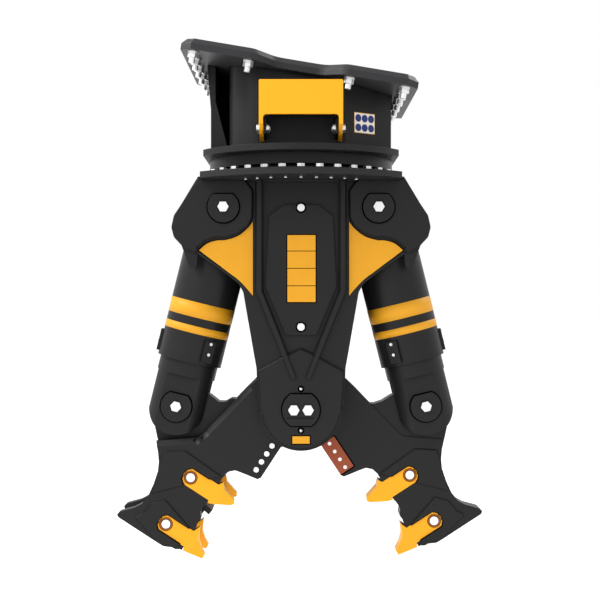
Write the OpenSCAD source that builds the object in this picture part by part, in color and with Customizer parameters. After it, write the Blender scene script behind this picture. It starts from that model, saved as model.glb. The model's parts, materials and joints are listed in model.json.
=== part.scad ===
// Demolition multiprocessor: a tilted mounting saddle, a slewing frame and two hydraulic jaws.
// Origin: centre of the mounting plate's top face, on the slewing axis. +Z up, -Y to the front.

/* [Mounting plate] */
// Width of the mounting plate, front to back
plate_w = 870; // [840:10:920]
// Thickness of the mounting plate
plate_t = 48; // [42:1:56]
// Slope of the mounting plate in degrees
plate_tilt = 9.5; // [5:0.5:11]
// Chamfer along the plate's top edge
plate_chamfer = 22; // [8:1:24]
// Cut across each corner of the plate
plate_corner = 45; // [20:5:60]
// How far the front and back edges are drawn in at the waist
plate_waist = 95; // [60:5:105]
// Number of bolts along each end of the plate
plate_bolts = 6; // [4:1:6]
// Distance from a bolt to the nearest edge of the plate
plate_bolt_edge = 44; // [38:1:50]
// Clearance between the column and the nuts at the plate's ends
nut_gap = 14; // [10:1:24]
// Distance of the two inner bolt pairs from the centre line
inner_bolt_x = 208; // [200:2:230]
// Shank radius of the plate's bolts
stud_r = 12; // [10:0.5:14]

/* [Saddle] */
// Depth of the saddle's base plate below the origin
base_top = 357; // [350:1:380]
// Thickness of the saddle's base plate
base_t = 26; // [20:1:32]
// Radius of the round base plate
base_r = 478; // [470:1:500]
// How far the base plate's straight ends stand out past the column
base_lip = 25; // [20:1:40]
// Wall thickness of the column
wall_t = 20; // [14:1:24]
// Half length of the column
column_half = 385; // [370:1:390]
// Half depth of the column
column_depth = 290; // [280:1:300]
// Radius of the rounded wall beside the opening
column_round = 140; // [120:5:150]

/* [Hose guard] */
// Thickness of the guard's bent plate
guard_t = 16; // [10:1:18]
// Half width of the guard
guard_half = 169; // [160:1:180]
// Distance of the guard's face in front of the slewing axis
guard_front = 470; // [460:1:475]
// Depth of the guard's upper edge below the origin
guard_top = 103; // [100:1:120]
// Height of the guard's face
guard_h = 138; // [120:1:150]

/* [Slewing ring] */
// Outer radius of the fixed race
race_r = 399; // [394:1:402]
// Height of the fixed race
race_h = 47; // [45:1:48]
// Radius of the circle that the rolling balls follow
ball_circle_r = 362; // [358:1:364]
// Radius of one ball
ball_r = 12; // [10:0.5:13]
// Number of balls
ball_count = 40; // [24:2:44]
// Tooth module of the internal gear
gear_module = 8; // [7.6:0.1:8]
// Number of teeth inside the ring
ring_teeth = 76; // [72:4:76]
// Number of teeth on the slewing pinion
pinion_teeth = 16; // [16:4:20]
// Number of bolts through the ring's flange
ring_bolts = 34; // [24:2:36]
// Radius of the circle of the ring's bolts
ring_bolt_r = 408; // [406:1:412]

/* [Frame] */
// Thickness of the frame's top plate
top_plate_t = 26; // [22:1:30]
// Radius of the top plate's curved edges
top_edge_r = 600; // [590:5:620]
// Half length of the frame's top plate
top_half = 420; // [415:1:425]
// Half width of a cheek at its widest
cheek_half = 548; // [544:1:556]
// Depth of the main pin below the top plate
cheek_drop = 972; // [966:2:990]
// Thickness of a cheek
cheek_t = 40; // [36:1:46]
// Clear width between the cheeks
frame_gap = 300; // [298:1:304]
// Thickness of the doubler plates on the cheeks
doubler_t = 20; // [14:1:24]
// How far the ribs stand out from a cheek
rib_proud = 34; // [30:1:40]
// Radius of a cheek's end round the main pin
cheek_end_r = 176; // [172:1:182]

/* [Pins] */
// Radius of the main pin
main_pin_r = 70; // [64:1:72]
// Radius of the cylinders' upper pins
upper_pin_r = 50; // [44:1:52]
// Radius of the cylinders' lower pins
lower_pin_r = 48; // [42:1:50]
// Distance of an upper pin from the centre line
upper_pin_x = 328; // [326:1:332]
// Depth of an upper pin below the top plate
upper_pin_drop = 115; // [112:1:118]
// Radial play of a pin in its bore
pin_play = 0.05; // [0.03:0.01:0.09]
// Wall of a bush
bush_t = 12; // [8:1:14]
// Thickness of the pins' end caps
cap_t = 12; // [8:1:16]

/* [Cylinders] */
// Outer radius of a barrel
barrel_r = 128; // [126:0.5:129]
// Bore radius of a barrel
barrel_bore_r = 105; // [100:1:108]
// Radius of a piston rod
rod_r = 60; // [54:1:64]
// Outer radius of the sleeve over a cylinder
sleeve_r = 141; // [140:0.5:143]
// Wall of the sleeve
sleeve_t = 10; // [8:0.5:10]
// Distance of the sleeve's lower end above the lower pin
sleeve_rise = 198.5; // [190:0.5:210]
// Radius of the eye on a piston rod
eye_r = 85; // [82:1:88]
// Distance of the barrel's upper end from the upper pin
barrel_start = 240; // [236:1:250]
// Width of the slot in a barrel's fork
fork_slot = 92; // [92:0.5:96]
// Width of a barrel's fork over its flats
fork_w = 210; // [206:1:220]

/* [Jaws] */
// Reach of a jaw outwards from the main pin
jaw_reach = 791; // [784:1:800]
// Drop of a jaw's lower corner below the main pin
jaw_drop = 606; // [600:1:612]
// Thickness of each outer plate of the forked jaw
fork_plate_t = 50; // [46:1:52]
// Thickness of the middle jaw
middle_t = 100; // [98:0.5:100]
// Gap between the middle jaw and each plate of the forked jaw
jaw_gap = 25; // [24:0.5:27]
// Thickness of the jaws' lugs
lug_t = 90; // [86:0.5:91]
// Radius of a jaw's hub
hub_r = 165; // [162:1:168]
// Radius of a jaw's lug eye
lug_eye_r = 105; // [102:1:108]
// Distance of a lug's eye outwards from the main pin
lug_x = 538; // [536:1:540]
// Height of a lug's eye above the main pin
lug_z = 6; // [4:1:8]
// Bevel along a forked jaw's upper edge
jaw_bevel = 22; // [10:1:26]
// Thickness of a wear plate
wear_t = 6; // [4:0.5:9]

/* [Teeth and blades] */
// Width of the slot that holds a tooth
slot_w = 80; // [74:1:82]
// Length of a tooth's head in front of its seat
tooth_head = 102; // [90:1:106]
// Distance of a tooth's seat from its bolt
tooth_seat = 117; // [114:1:119]
// Angle of the teeth to the level
tooth_angle = 33; // [31:0.5:35]
// Shank radius of a tooth's bolt
tooth_bolt_r = 15; // [12:0.5:16]
// Length of a cutting blade
blade_l = 156; // [150:1:158]
// Width of a cutting blade
blade_w = 70; // [64:1:74]
// Gap between the blades as they pass
blade_gap = 1.5; // [1:0.25:2.5]
// Shank radius of a blade's bolt
blade_bolt_r = 8; // [6:0.5:9]

/* [Hidden] */
$fn = 64;
paint = "#333436";
steel = "#c9cbcc";
yellow = "#fdb934";

// General clearances and details
over = 1; // overrun of a cut past a face
seat_gap = 0.3; // gap between faces that slide
bolt_play = 1; // radial play of a bolt in its hole
hex_across = 41; // across flats of the pins' bolts
hex_t = 12; // height of a large hexagon head
arc_steps = 6; // chords of a rounded corner

// Mounting plate and its bolts
base_bottom = base_top + base_t;
waist_outer = 2 * plate_bolt_edge + plate_waist;
waist_inner = plate_waist;
waist_round = 60;
stud_head_r = stud_r * 1.5;
stud_head_h = stud_r * 2;
sink_r = stud_head_r + bolt_play;
sink_depth = stud_head_h + bolt_play;
washer_lip = 10;
washer_r = stud_r + washer_lip;
washer_t = 4;
nut_across = stud_r * 3;
nut_t = stud_r * 1.8;
stud_stub = 22;
bolt_inset = 10;
flare = 15;
bolt_x = column_half + flare + nut_gap + washer_r;
plate_l = 2 * (bolt_x + bolt_inset + plate_bolt_edge);
bolt_y = plate_w / 2 - plate_bolt_edge;

// Saddle column and its gussets
column_flat = column_half * 0.48;
column_side = column_depth / 2;
gusset_t = 14;
gusset_drop = 137;
column_gap = 80;
column_rise = 240;
gusset_foot = 308;
base_half = column_half + base_lip;

// Hose guard, brackets and manifold
guard_corner = 5;
guard_fillet = 16;
guard_toe = 22;
guard_leg_y = 310;
guard_leg_drop = 334;
guard_notch_y = 345;
bracket_t = 12;
bracket_slope = 12;
bracket_out = 400;
guard_bolt_ys = [335, 385];
guard_bolt_r = 7;
guard_bolt_lift = 48;
guard_bolt_head_r = 13;
guard_bolt_head = 10;
port_block_half = 130;
port_block_front = 425;
port_block_top = 165;
port_block_bottom = 225;
port_x = 45;
port_y = 385;
port_r = 19;
port_depth = 40;

// Slewing ring, its gear, pinion, motor and swivel
race_gap = 2;
ring_lead = 5;
ring_gap_h = 70;
flange_lip = 20;
race_in_r = ball_circle_r + race_gap;
gear_out_r = ball_circle_r - race_gap;
race_top = base_bottom;
race_mid = race_top + race_h / 2;
groove_play = 0.1;
ring_top = race_top + ring_lead;
flange_t = 7;
top_face = base_bottom + ring_gap_h;
flange_top = top_face - flange_t;
flange_r = ring_bolt_r + flange_lip;
ring_pitch_r = gear_module * ring_teeth / 2;
pinion_pitch_r = gear_module * pinion_teeth / 2;
pinion_x = ring_pitch_r - pinion_pitch_r;
tooth_tall = gear_module * 0.8;
tooth_deep = gear_module * 1.15;
pinion_shaft_r = 25;
pinion_clear = 5;
ring_hex_across = 30;
ring_hex_t = 13;
ring_stud_r = 10;
ring_stud_depth = 22;
motor_r = 70;
motor_h = 150;
motor_flange_r = 88;
motor_flange_t = 18;
race_bolt_r = (race_r + ball_circle_r + ball_r) / 2;
race_bolt_angle = 9;
race_bolt_count = 7;
race_bolt_across = 24;
race_bolt_head = 12;
race_stud_r = 8;
race_stud_l = 50;
stator_r = 80;
stator_rise = 100;
stator_flange_r = 104;
stator_flange_t = 14;
rotor_r = 45;
rotor_rise = 60;
rotor_flange_r = 74;
rotor_flange_t = 12;

// Frame
frame_top = top_face + top_plate_t;
main_pin_z = frame_top + cheek_drop;
upper_pin_z = frame_top + upper_pin_drop;
cheek_in = frame_gap / 2;
cheek_out = cheek_in + cheek_t;
doubler_out = cheek_out + doubler_t;
outline_round = 34;
top_lip = 67;
top_edge_shift = top_edge_r - race_r - top_lip;
ear_share = (top_half + seat_gap) / cheek_half;
// Half outline of a cheek: out by cheek_half, down by cheek_drop, rounding by outline_round
cheek_shares = [[0, 0, 0], [ear_share, 0, 0], [ear_share, 0.016, 0], [0.797, 0.016, 0],
    [0.98, -0.155, 1], [1, -0.206, 1], [0.98, -0.25, 1], [0.925, -0.284, 0.3],
    [0.858, -0.385, 0.3], [0.808, -0.385, 0.3], [0.8, -0.322, 0], [0.586, -0.406, 1],
    [0.484, -0.451, 1], [0.447, -0.488, 1],
    [0.37, -0.741, 1], [0.345, -0.819, 1], [0.332, -0.989, 0], [0, -1, 0]];
wing_shares = [[0.445, 0, 0], [0.797, 0, 0], [0.98, -0.155, 1], [1, -0.206, 1],
    [0.98, -0.25, 1], [0.925, -0.282, 1], [0.821, -0.314, 0], [0.808, -0.305, 0],
    [0.808, -0.293, 0], [0.743, -0.262, 1], [0.668, -0.246, 1], [0.575, -0.244, 1],
    [0.491, -0.23, 1], [0.416, -0.199, 1], [0.383, -0.163, 1], [0.38, -0.046, 1]];
pivot_doubler_shares = [[0, -0.74, 0], [0.077, -0.759, 0], [0.142, -0.78, 0],
    [0.318, -0.834, 0], [0.323, -0.845, 0], [0.301, -1.02, 0], [0, -1.02, 0]];
rib_shares = [[0.305, 0, 0], [0.338, 0, 0], [0.338, -0.484, 0], [0.186, -0.697, 0],
    [0.071, -0.865, 0], [0.038, -0.865, 0], [0.153, -0.697, 0], [0.305, -0.484, 0]];
cover_shares = [[0, -0.109, 0], [0.133, -0.109, 0], [0.245, -0.157, 0], [0.274, -0.464, 0],
    [0.117, -0.674, 0], [0, -0.674, 0]];
cover_t = 12;
cover_bolt_shares = [-0.121, -0.64];
cover_bolt_r = 15.7;
cover_stud_r = 8;
cover_bolt_head = 7;
pivot_cap_r = 158;
web_half = 170;
web_t = 20;
web_gap = 107;
web_drop = cheek_drop - hub_r - web_gap;
diaphragm_shares = [0.3, 0.95];
main_cap_r = 79;
main_cap_flat = 66.5;
main_bolt_x = 30;
upper_cap_r = 66;
upper_cap_flat = 12;
pin_thread_r = 13;
pin_thread_l = 50;
washer_out_r = 130;

// Cylinders
lug_drop = main_pin_z - upper_pin_z - lug_z;
lug_out = lug_x - upper_pin_x;
cyl_l = norm([lug_out, lug_drop]);
cyl_tilt = atan2(lug_out, lug_drop);
fork_root = 136.5;
slot_root = cyl_l - fork_root;
barrel_end_t = 50;
bore_end = slot_root - barrel_end_t;
piston_t = 60;
piston_rest = 60;
piston_end = bore_end - piston_rest;
rod_end = piston_end - piston_t;
sleeve_end = cyl_l - sleeve_rise;
piston_play = 0.1;
rod_eye_gap = 10;
rod_eye_half = cheek_in - rod_eye_gap;
collar_r = 75;
collar_l = 10;
sleeve_start = eye_r + collar_l;
sleeve_cap_t = 20;
sleeve_play = 0.3;
gland_t = 50;
gland_play = 0.08;
fork_end_r = 125;
lower_cap_r = 66;
fork_cap_flat = 12;
lug_bore_extra = 11;
pad_angles = [33, 270, 153];
pad_h = 95;
pad_w = 52;
pad_t = 10;
pad_drop = 14;

// Jaws
stack_in = middle_t / 2 + jaw_gap;
stack_out = stack_in + fork_plate_t;
jaw_round = 14;
// Outline of a jaw's plate: out by jaw_reach, up by jaw_drop, rounding by jaw_round
jaw_shares = [[0, 0.256, 0], [0.249, 0.198, 0], [0.301, 0.132, 1], [0.535, -0.186, 1],
    [0.561, -0.213, 1], [0.789, -0.236, 0], [0.777, -0.305, 1], [0.772, -0.38, 1],
    [0.777, -0.446, 1], [0.8, -0.536, 1], [0.829, -0.619, 1], [0.865, -0.678, 1],
    [0.905, -0.706, 1], [0.986, -0.734, 1], [1, -0.754, 0.5], [0.992, -0.774, 0.5],
    [0.774, -0.959, 0], [0.746, -0.98, 0], [0.7, -0.987, 1], [0.684, -1, 0.5],
    [0.647, -1, 0], [0.637, -0.982, 0], [0.582, -0.871, 0], [0.558, -0.81, 0],
    [0.541, -0.781, 1], [0.547, -0.743, 1], [0.537, -0.711, 1], [0.503, -0.653, 0],
    [0.448, -0.543, 0], [0.42, -0.483, 1], [0.394, -0.452, 1], [0.358, -0.442, 1],
    [0.322, -0.459, 1], [0.236, -0.505, 0], [0.217, -0.493, 0], [0.109, -0.277, 0],
    [0, -0.256, 0]];
diagonal_shares = [[0.301, 0.132], [0.535, -0.186], [0.561, -0.213], [0.789, -0.236]];
left_lug_shares = [[0.59, 0.127, 0], [0.502, 0.083, 1], [0.453, 0.033, 1], [0.418, 0.033, 1],
    [0.384, 0.059, 1], [0.303, 0.05, 0], [0.303, -0.198, 0], [0.379, -0.396, 0],
    [0.759, -0.396, 0], [0.772, -0.38, 0], [0.777, -0.305, 0], [0.794, -0.215, 1],
    [0.815, -0.083, 1], [0.813, 0.01, 0]];
left_block_shares = [[0.556, -0.264, 0], [0.784, -0.264, 0], [0.772, -0.38, 0],
    [0.796, -0.528, 0], [0.708, -0.561, 0], [0.569, -0.33, 0]];
right_lug_shares = [[0.59, 0.127, 0], [0.497, 0.078, 1], [0.449, 0.038, 1], [0.407, 0.02, 1],
    [0.369, 0.02, 1], [0.325, 0.038, 1], [0.269, 0.073, 1], [0.231, 0.101, 0],
    [0.303, -0.198, 0], [0.77, -0.38, 0], [0.777, -0.305, 0], [0.794, -0.215, 1],
    [0.815, -0.083, 1], [0.813, 0.01, 0]];
upper_wear_shares = [[0.44, -0.483, 0], [0.63, -0.307, 0], [0.745, -0.315, 0], [0.766, -0.4, 0],
    [0.79, -0.536, 0], [0.81, -0.6, 0], [0.69, -0.56, 0]];
lower_wear_shares = [[0.6, -0.86, 0], [0.738, -0.655, 0], [0.807, -0.678, 0],
    [0.853, -0.749, 0], [0.894, -0.776, 0], [0.774, -0.949, 0], [0.7, -0.977, 0],
    [0.665, -0.977, 0]];
tooth_at_shares = [[0.599, -0.493], [0.733, -0.822]];
bar_at_shares = [[0.496, -0.755], [0.58, -0.66]];
bar_h = 24;

// Teeth: profiles in the tooth's own axes, out from its bolt and across
slot_rear = 34;
slot_cham = 18;
slot_play = 0.5;
seat_cut = 260;
// Head profiles: along by tooth_head from the seat, across by half of slot_w
upper_head_shares = [[0, 1], [-0.1, 1.4], [-0.32, 0.87], [-0.9, 0.5], [-1, 0.1], [-0.9, -0.2],
    [-0.28, -1.05], [-0.03, -1.3], [0, -1]];
lower_head_shares = [[0, 1], [-0.11, 1.7], [-0.2, 1.25], [-0.34, 0.52], [-0.63, -0.12],
    [-0.92, -0.5], [-0.93, -1.05], [-0.05, -1.4], [0, -1]];
head_taper = 9;
tooth_sink_r = 30;
tooth_sink = 8;
tooth_bolt_head_r = 19;
tooth_bolt_head = 10;

// Blades
blade_t = jaw_gap - blade_gap;
blade_at_shares = [0.109, -0.277];
blade_dir = [0.5517, -0.834];
blade_bolt_n = 4;
blade_bolt_pitch = 41;
blade_bolt_start = 16;
blade_bolt_in = 35;
blade_head_r = 11.5;
blade_head_t = 7;
blade_nut_sink = 10;

// Outline helpers
function unit(v) = v / norm(v);
function heading(v) = atan2(v[1], v[0]);
function wrap(a) = a > 180 ? a - 360 : a < -180 ? a + 360 : a;
function corner_arc(a, b, c, r) = r <= 0 ? [b] :
    let(u = unit(a - b), v = unit(c - b), half = acos(u * v) / 2,
        reach = min(r / tan(half), min(norm(a - b), norm(c - b)) * 0.45),
        rr = reach * tan(half), m = b + unit(u + v) * rr / sin(half),
        start = heading(b + u * reach - m), turn = wrap(heading(b + v * reach - m) - start))
    [for (i = [0:arc_steps]) m + rr * [cos(start + turn * i / arc_steps),
        sin(start + turn * i / arc_steps)]];
function plan(t) = [for (p = t) [p[0], p[1]]];
function rounded(t) = let(n = len(t), q = plan(t))
    [for (i = [0:n - 1]) each corner_arc(q[(i + n - 1) % n], q[i], q[(i + 1) % n], t[i][2])];
function scaled(t, sx, sy, r) = [for (p = t) [p[0] * sx, p[1] * sy, p[2] * r]];
function both_sides(t) = concat(t, [for (i = [len(t) - 1:-1:0]) if (t[i][0] > 0)
    [-t[i][0], t[i][1], t[i][2]]]);
function edge_normal(a, b) = let(d = unit(b - a)) [-d[1], d[0]];
function inset(q, d) = let(n = len(q)) [for (i = [0:n - 1])
    let(n1 = edge_normal(q[(i + n - 1) % n], q[i]), n2 = edge_normal(q[i], q[(i + 1) % n]))
    q[i] + d * (n1 + n2) / (1 + n1 * n2)];
function turned(v, a) = [v[0] * cos(a) - v[1] * sin(a), v[0] * sin(a) + v[1] * cos(a)];

// An upright plate in the x-z plane, from y0 back to y1
module slab(outline, y0, y1)
    translate([0, y1, 0]) rotate([90, 0, 0]) linear_extrude(y1 - y0) polygon(outline);
module y_rod(r, y0, y1)
    translate([0, y1, 0]) rotate([90, 0, 0]) cylinder(r = r, h = y1 - y0);
module y_hex(across, y0, y1)
    translate([0, y1, 0]) rotate([90, 0, 0]) cylinder(r = across / 2 / cos(30), h = y1 - y0, $fn = 6);
module z_hex(across, h) cylinder(r = across / 2 / cos(30), h = h, $fn = 6);
module side(s) {
    if (s < 0) mirror([1, 0, 0]) children();
    else children();
}
module front_and_back() {
    children();
    mirror([0, 1, 0]) children();
}
module block(a, b) translate(a) cube(b - a);

// Mounting plate, its bolts and nuts
module on_slope() rotate([0, plate_tilt, 0]) children();

corner_plan = rounded([[plate_l / 2, 0, 0], [plate_l / 2, plate_w / 2 - plate_corner, 0],
    [plate_l / 2 - plate_corner, plate_w / 2, 0], [waist_outer, plate_w / 2, waist_round],
    [waist_inner, plate_w / 2 - plate_waist, waist_round], [0, plate_w / 2 - plate_waist, 0]]);
quarter_plan = [for (p = corner_plan) if (p[0] > 0 && p[1] > 0) p];
half_plan = concat(quarter_plan,
    [for (i = [len(quarter_plan) - 1:-1:0]) [-quarter_plan[i][0], quarter_plan[i][1]]]);
plate_plan = concat(half_plan, [for (p = half_plan) -p]);
half_inset = [for (p = inset(plate_plan, plate_chamfer * 0.9)) if (p[1] > 0) p];

// A chamfered band between two outlines that are alike front and rear, as strips across
module frustum(low, high, z0, z1) {
    n = len(low);
    polyhedron(points = concat([for (p = low) [p[0], p[1], z0]], [for (p = low) [p[0], -p[1], z0]],
        [for (p = high) [p[0], p[1], z1]], [for (p = high) [p[0], -p[1], z1]]),
        faces = concat([[n, 3 * n, 2 * n, 0], [n - 1, 3 * n - 1, 4 * n - 1, 2 * n - 1]],
            [for (i = [0:n - 2]) each [[2 * n + i, 3 * n + i, 3 * n + i + 1, 2 * n + i + 1],
                [i, i + 1, n + i + 1, n + i], [i, 2 * n + i, 2 * n + i + 1, i + 1],
                [n + i, n + i + 1, 3 * n + i + 1, 3 * n + i]]]), convexity = 4);
}

module at_studs() {
    for (x = [-bolt_x, bolt_x], i = [0:plate_bolts - 1])
        translate([x, bolt_y * (2 * i / (plate_bolts - 1) - 1), 0]) children();
    for (x = [-inner_bolt_x, inner_bolt_x], y = [-bolt_y, bolt_y]) translate([x, y, 0]) children();
}

module mounting_plate() color("#5a5b5d") on_slope() difference() {
    union() {
        translate([0, 0, -plate_t]) linear_extrude(plate_t - plate_chamfer) polygon(plate_plan);
        frustum(half_plan, half_inset, -plate_chamfer, 0);
    }
    at_studs() {
        translate([0, 0, -plate_t - over]) cylinder(r = stud_r + bolt_play, h = plate_t + 2 * over);
        translate([0, 0, -sink_depth]) cylinder(r = sink_r, h = sink_depth + over);
    }
}

module mounting_bolts() color(steel) on_slope() at_studs() {
    translate([0, 0, -sink_depth]) cylinder(r = stud_head_r, h = stud_head_h);
    translate([0, 0, -plate_t - washer_t - nut_t - stud_stub])
        cylinder(r = stud_r, h = plate_t + washer_t + nut_t + stud_stub - sink_depth);
}

module mounting_nuts() color(steel) on_slope() at_studs() difference() {
    union() {
        translate([0, 0, -plate_t - washer_t]) cylinder(r = washer_r, h = washer_t);
        translate([0, 0, -plate_t - washer_t - nut_t]) z_hex(nut_across, nut_t);
    }
    translate([0, 0, -plate_t - washer_t - nut_t - over])
        cylinder(r = stud_r, h = nut_t + washer_t + 2 * over);
}

// Saddle: column with its open corner, base plate and bolts of the race
column_plan = concat(
    corner_arc([column_half, -column_side], [column_flat, -column_depth], [0, -column_depth], 0),
    [[-column_half + column_round + column_gap, -column_depth]],
    [for (i = [1:2 * arc_steps]) [-column_half + column_gap + column_round,
        -column_depth + column_round]
        + column_round * [-sin(90 * i / (2 * arc_steps)), -cos(90 * i / (2 * arc_steps))]],
    [[-column_half, -column_depth + column_round], [-column_half, column_side],
     [-column_flat, column_depth], [column_flat, column_depth], [column_half, column_side],
     [column_half, -column_side]]);

module below_plate() difference() {
    children();
    on_slope() translate([-plate_l, -plate_l, -plate_t]) cube(2 * plate_l);
}

module saddle_column() color(paint) below_plate() {
    translate([0, 0, -base_top]) linear_extrude(base_top + column_rise) difference() {
        polygon(column_plan);
        polygon(inset([for (i = [len(column_plan) - 1:-1:0]) column_plan[i]], wall_t));
        translate([-column_half + wall_t, -column_depth + column_round - over])
            square([column_gap - wall_t, wall_t + 2 * over]);
    }
    slab([[-column_half + wall_t, -base_top], [-gusset_foot, -base_top],
        [-column_half + wall_t, -gusset_drop]], -column_side - gusset_t, -column_side);
    for (s = [-1, 1]) slab([[s * column_half, -base_top / 2], [s * (column_half + flare), 0],
        [s * (column_half + flare), column_rise], [s * column_half, column_rise]],
        -column_side, column_side);
}

module base_plan() intersection() {
    circle(r = base_r, $fn = 128);
    square([2 * base_half, 2 * base_r + 2 * over], center = true);
}

module at_race_bolts() for (a = [90, 270], i = [0:race_bolt_count - 1])
    rotate(a + (i - (race_bolt_count - 1) / 2) * race_bolt_angle)
        translate([race_bolt_r, 0, -base_top]) children();

module saddle_base_plate() color(paint) difference() {
    translate([0, 0, -base_bottom]) linear_extrude(base_t) base_plan();
    translate([0, 0, -base_bottom - over]) cylinder(r = stator_r, h = base_t + 2 * over);
    translate([pinion_x, 0, -base_bottom - over])
        cylinder(r = pinion_shaft_r + bolt_play, h = base_t + 2 * over);
    at_race_bolts() translate([0, 0, -base_t - over])
        cylinder(r = race_stud_r, h = base_t + 2 * over);
}

module race_bolts() color(steel) at_race_bolts() {
    z_hex(race_bolt_across, race_bolt_head);
    translate([0, 0, -race_stud_l]) cylinder(r = race_stud_r, h = race_stud_l);
}

// Slewing ring: the fixed race, the turning gear ring on its balls, the pinion and its motor
module groove() rotate_extrude($fn = 128) translate([ball_circle_r, -race_mid])
    circle(r = ball_r + groove_play, $fn = 32);

module ring(r_out, r_in, z0, z1) translate([0, 0, z0]) difference() {
    cylinder(r = r_out, h = z1 - z0, $fn = 128);
    translate([0, 0, -over]) cylinder(r = r_in, h = z1 - z0 + 2 * over, $fn = 128);
}

module slew_outer_race() color("#4a4b4d") difference() {
    ring(race_r, race_in_r, -race_top - race_h, -race_top);
    groove();
    at_race_bolts() translate([0, 0, -race_stud_l - over])
        cylinder(r = race_stud_r, h = race_stud_l + 2 * over);
}

// A gear tooth from its root to its tip; the tip leans in by the flank's slope
module gear_tooth(pitch_r, inwards) {
    half = gear_module * PI / 4 * 0.86;
    lean = gear_module * 0.32;
    tip = inwards ? pitch_r - tooth_tall : pitch_r + tooth_tall;
    root = inwards ? pitch_r + tooth_deep + over : pitch_r - tooth_deep - over;
    polygon([[root, -half - lean], [tip, -half + lean], [tip, half - lean], [root, half + lean]]);
}

module slew_ring_gear() color(steel) {
    difference() {
        union() {
            ring(gear_out_r, ring_pitch_r + tooth_deep, -flange_top, -ring_top);
            ring(flange_r, ring_pitch_r + tooth_deep, -top_face, -flange_top);
        }
        groove();
        at_ring_bolts() translate([0, 0, -flange_t - over])
            cylinder(r = ring_stud_r, h = flange_t + 2 * over);
    }
    translate([0, 0, -flange_top]) linear_extrude(flange_top - ring_top)
        for (i = [0:ring_teeth - 1]) rotate((i + 0.5) * 360 / ring_teeth)
            gear_tooth(ring_pitch_r, true);
}

module slew_balls() color("#e6e8ea") for (i = [0:ball_count - 1])
    rotate(i * 360 / ball_count) translate([ball_circle_r, 0, -race_mid]) sphere(r = ball_r);

module slew_pinion() color(steel) translate([pinion_x, 0, 0]) {
    translate([0, 0, -flange_top + pinion_clear]) linear_extrude(flange_top - ring_top - pinion_clear)
        union() {
            circle(r = pinion_pitch_r - tooth_deep);
            for (i = [0:pinion_teeth - 1]) rotate(i * 360 / pinion_teeth)
                gear_tooth(pinion_pitch_r, false);
        }
    translate([0, 0, -flange_top + pinion_clear])
        cylinder(r = pinion_shaft_r, h = flange_top - base_top + motor_h / 3 - pinion_clear);
}

module slew_motor() color(paint) translate([pinion_x, 0, -base_top]) difference() {
    union() {
        cylinder(r = motor_flange_r, h = motor_flange_t);
        cylinder(r = motor_r, h = motor_h);
        translate([-motor_r / 2, motor_r / 2, motor_h / 2]) cube([motor_r, motor_r * 0.8, motor_h / 4]);
    }
    translate([0, 0, -over]) cylinder(r = pinion_shaft_r + pin_play, h = motor_h / 3 + 2 * over);
}

module at_ring_bolts() for (i = [0:ring_bolts - 1])
    rotate((i + 0.5) * 360 / ring_bolts) translate([ring_bolt_r, 0, -flange_top]) children();

module slew_bolts() color(steel) at_ring_bolts() {
    z_hex(ring_hex_across, ring_hex_t);
    translate([0, 0, -ring_stud_depth]) cylinder(r = ring_stud_r, h = ring_stud_depth);
}

// Hydraulic swivel on the slewing axis
module swivel_stator() color(steel) difference() {
    translate([0, 0, -base_bottom - flange_t]) union() {
        cylinder(r = stator_r, h = base_t + stator_rise);
        translate([0, 0, base_t + flange_t]) cylinder(r = stator_flange_r, h = stator_flange_t);
    }
    translate([0, 0, -base_bottom - flange_t - over])
        cylinder(r = rotor_r + pin_play, h = base_t + rotor_rise + over + 2 * flange_t);
}

module swivel_rotor() color("#8f9294") translate([0, 0, -top_face]) {
    cylinder(r = rotor_flange_r, h = rotor_flange_t);
    cylinder(r = rotor_r, h = top_face - base_top + rotor_rise);
}

// Hose guard, brackets, bolts and the manifold behind it
guard_side_plan = [[-guard_front + guard_t - over, -guard_top - guard_h / 3],
    [-guard_front + guard_t - over, -guard_top - guard_h],
    [-guard_notch_y - bracket_out / 10, -guard_leg_drop + guard_toe],
    [-guard_leg_y - guard_t, -guard_leg_drop],
    [-guard_leg_y, -guard_leg_drop], [-guard_leg_y, -guard_leg_drop + 2 * guard_bolt_lift],
    [-guard_notch_y, -guard_top - guard_h / 2],
    [-guard_notch_y - bracket_out / 10, -guard_top - guard_h / 3]];

module at_guard_bolts() for (s = [-1, 1], y = guard_bolt_ys) side(s)
    translate([guard_half, -y, -guard_leg_drop + guard_bolt_lift]) rotate([0, 90, 0]) children();

module x_plate(outline, x0, x1) translate([x0, 0, 0]) rotate([90, 0, 90])
    linear_extrude(x1 - x0) polygon(outline);

module hose_guard() color(yellow) difference() {
    union() {
        slab(rounded(both_sides([[0, -guard_top, 0], [guard_half, -guard_top, guard_corner],
            [guard_half, -guard_top - guard_h - 2.5 * guard_fillet, 0],
            [guard_half - guard_t, -guard_top - guard_h - 2.5 * guard_fillet, 0],
            [guard_half - guard_t, -guard_top - guard_h, guard_fillet],
            [0, -guard_top - guard_h, 0]])), -guard_front, -guard_front + guard_t);
        for (s = [-1, 1]) side(s) x_plate(guard_side_plan, guard_half - guard_t, guard_half);
    }
    at_guard_bolts() translate([0, 0, -guard_t - over])
        cylinder(r = guard_bolt_r, h = guard_t + 2 * over);
}

module guard_brackets() color(paint) for (s = [-1, 1]) side(s) difference() {
    x_plate([[-bracket_out, -guard_leg_drop + 2 * guard_bolt_lift - bracket_slope],
        [-bracket_out, -guard_leg_drop + guard_bolt_lift / 2],
        [-column_depth, -guard_leg_drop + bracket_slope],
        [-column_depth, -guard_leg_drop + 2 * guard_bolt_lift + bracket_slope]],
        guard_half - guard_t - bracket_t, guard_half - guard_t);
    for (y = guard_bolt_ys) translate([guard_half, -y, -guard_leg_drop + guard_bolt_lift])
        rotate([0, 90, 0]) translate([0, 0, -guard_t - bracket_t - over])
            cylinder(r = guard_bolt_r, h = bracket_t + 2 * over);
}

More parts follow.
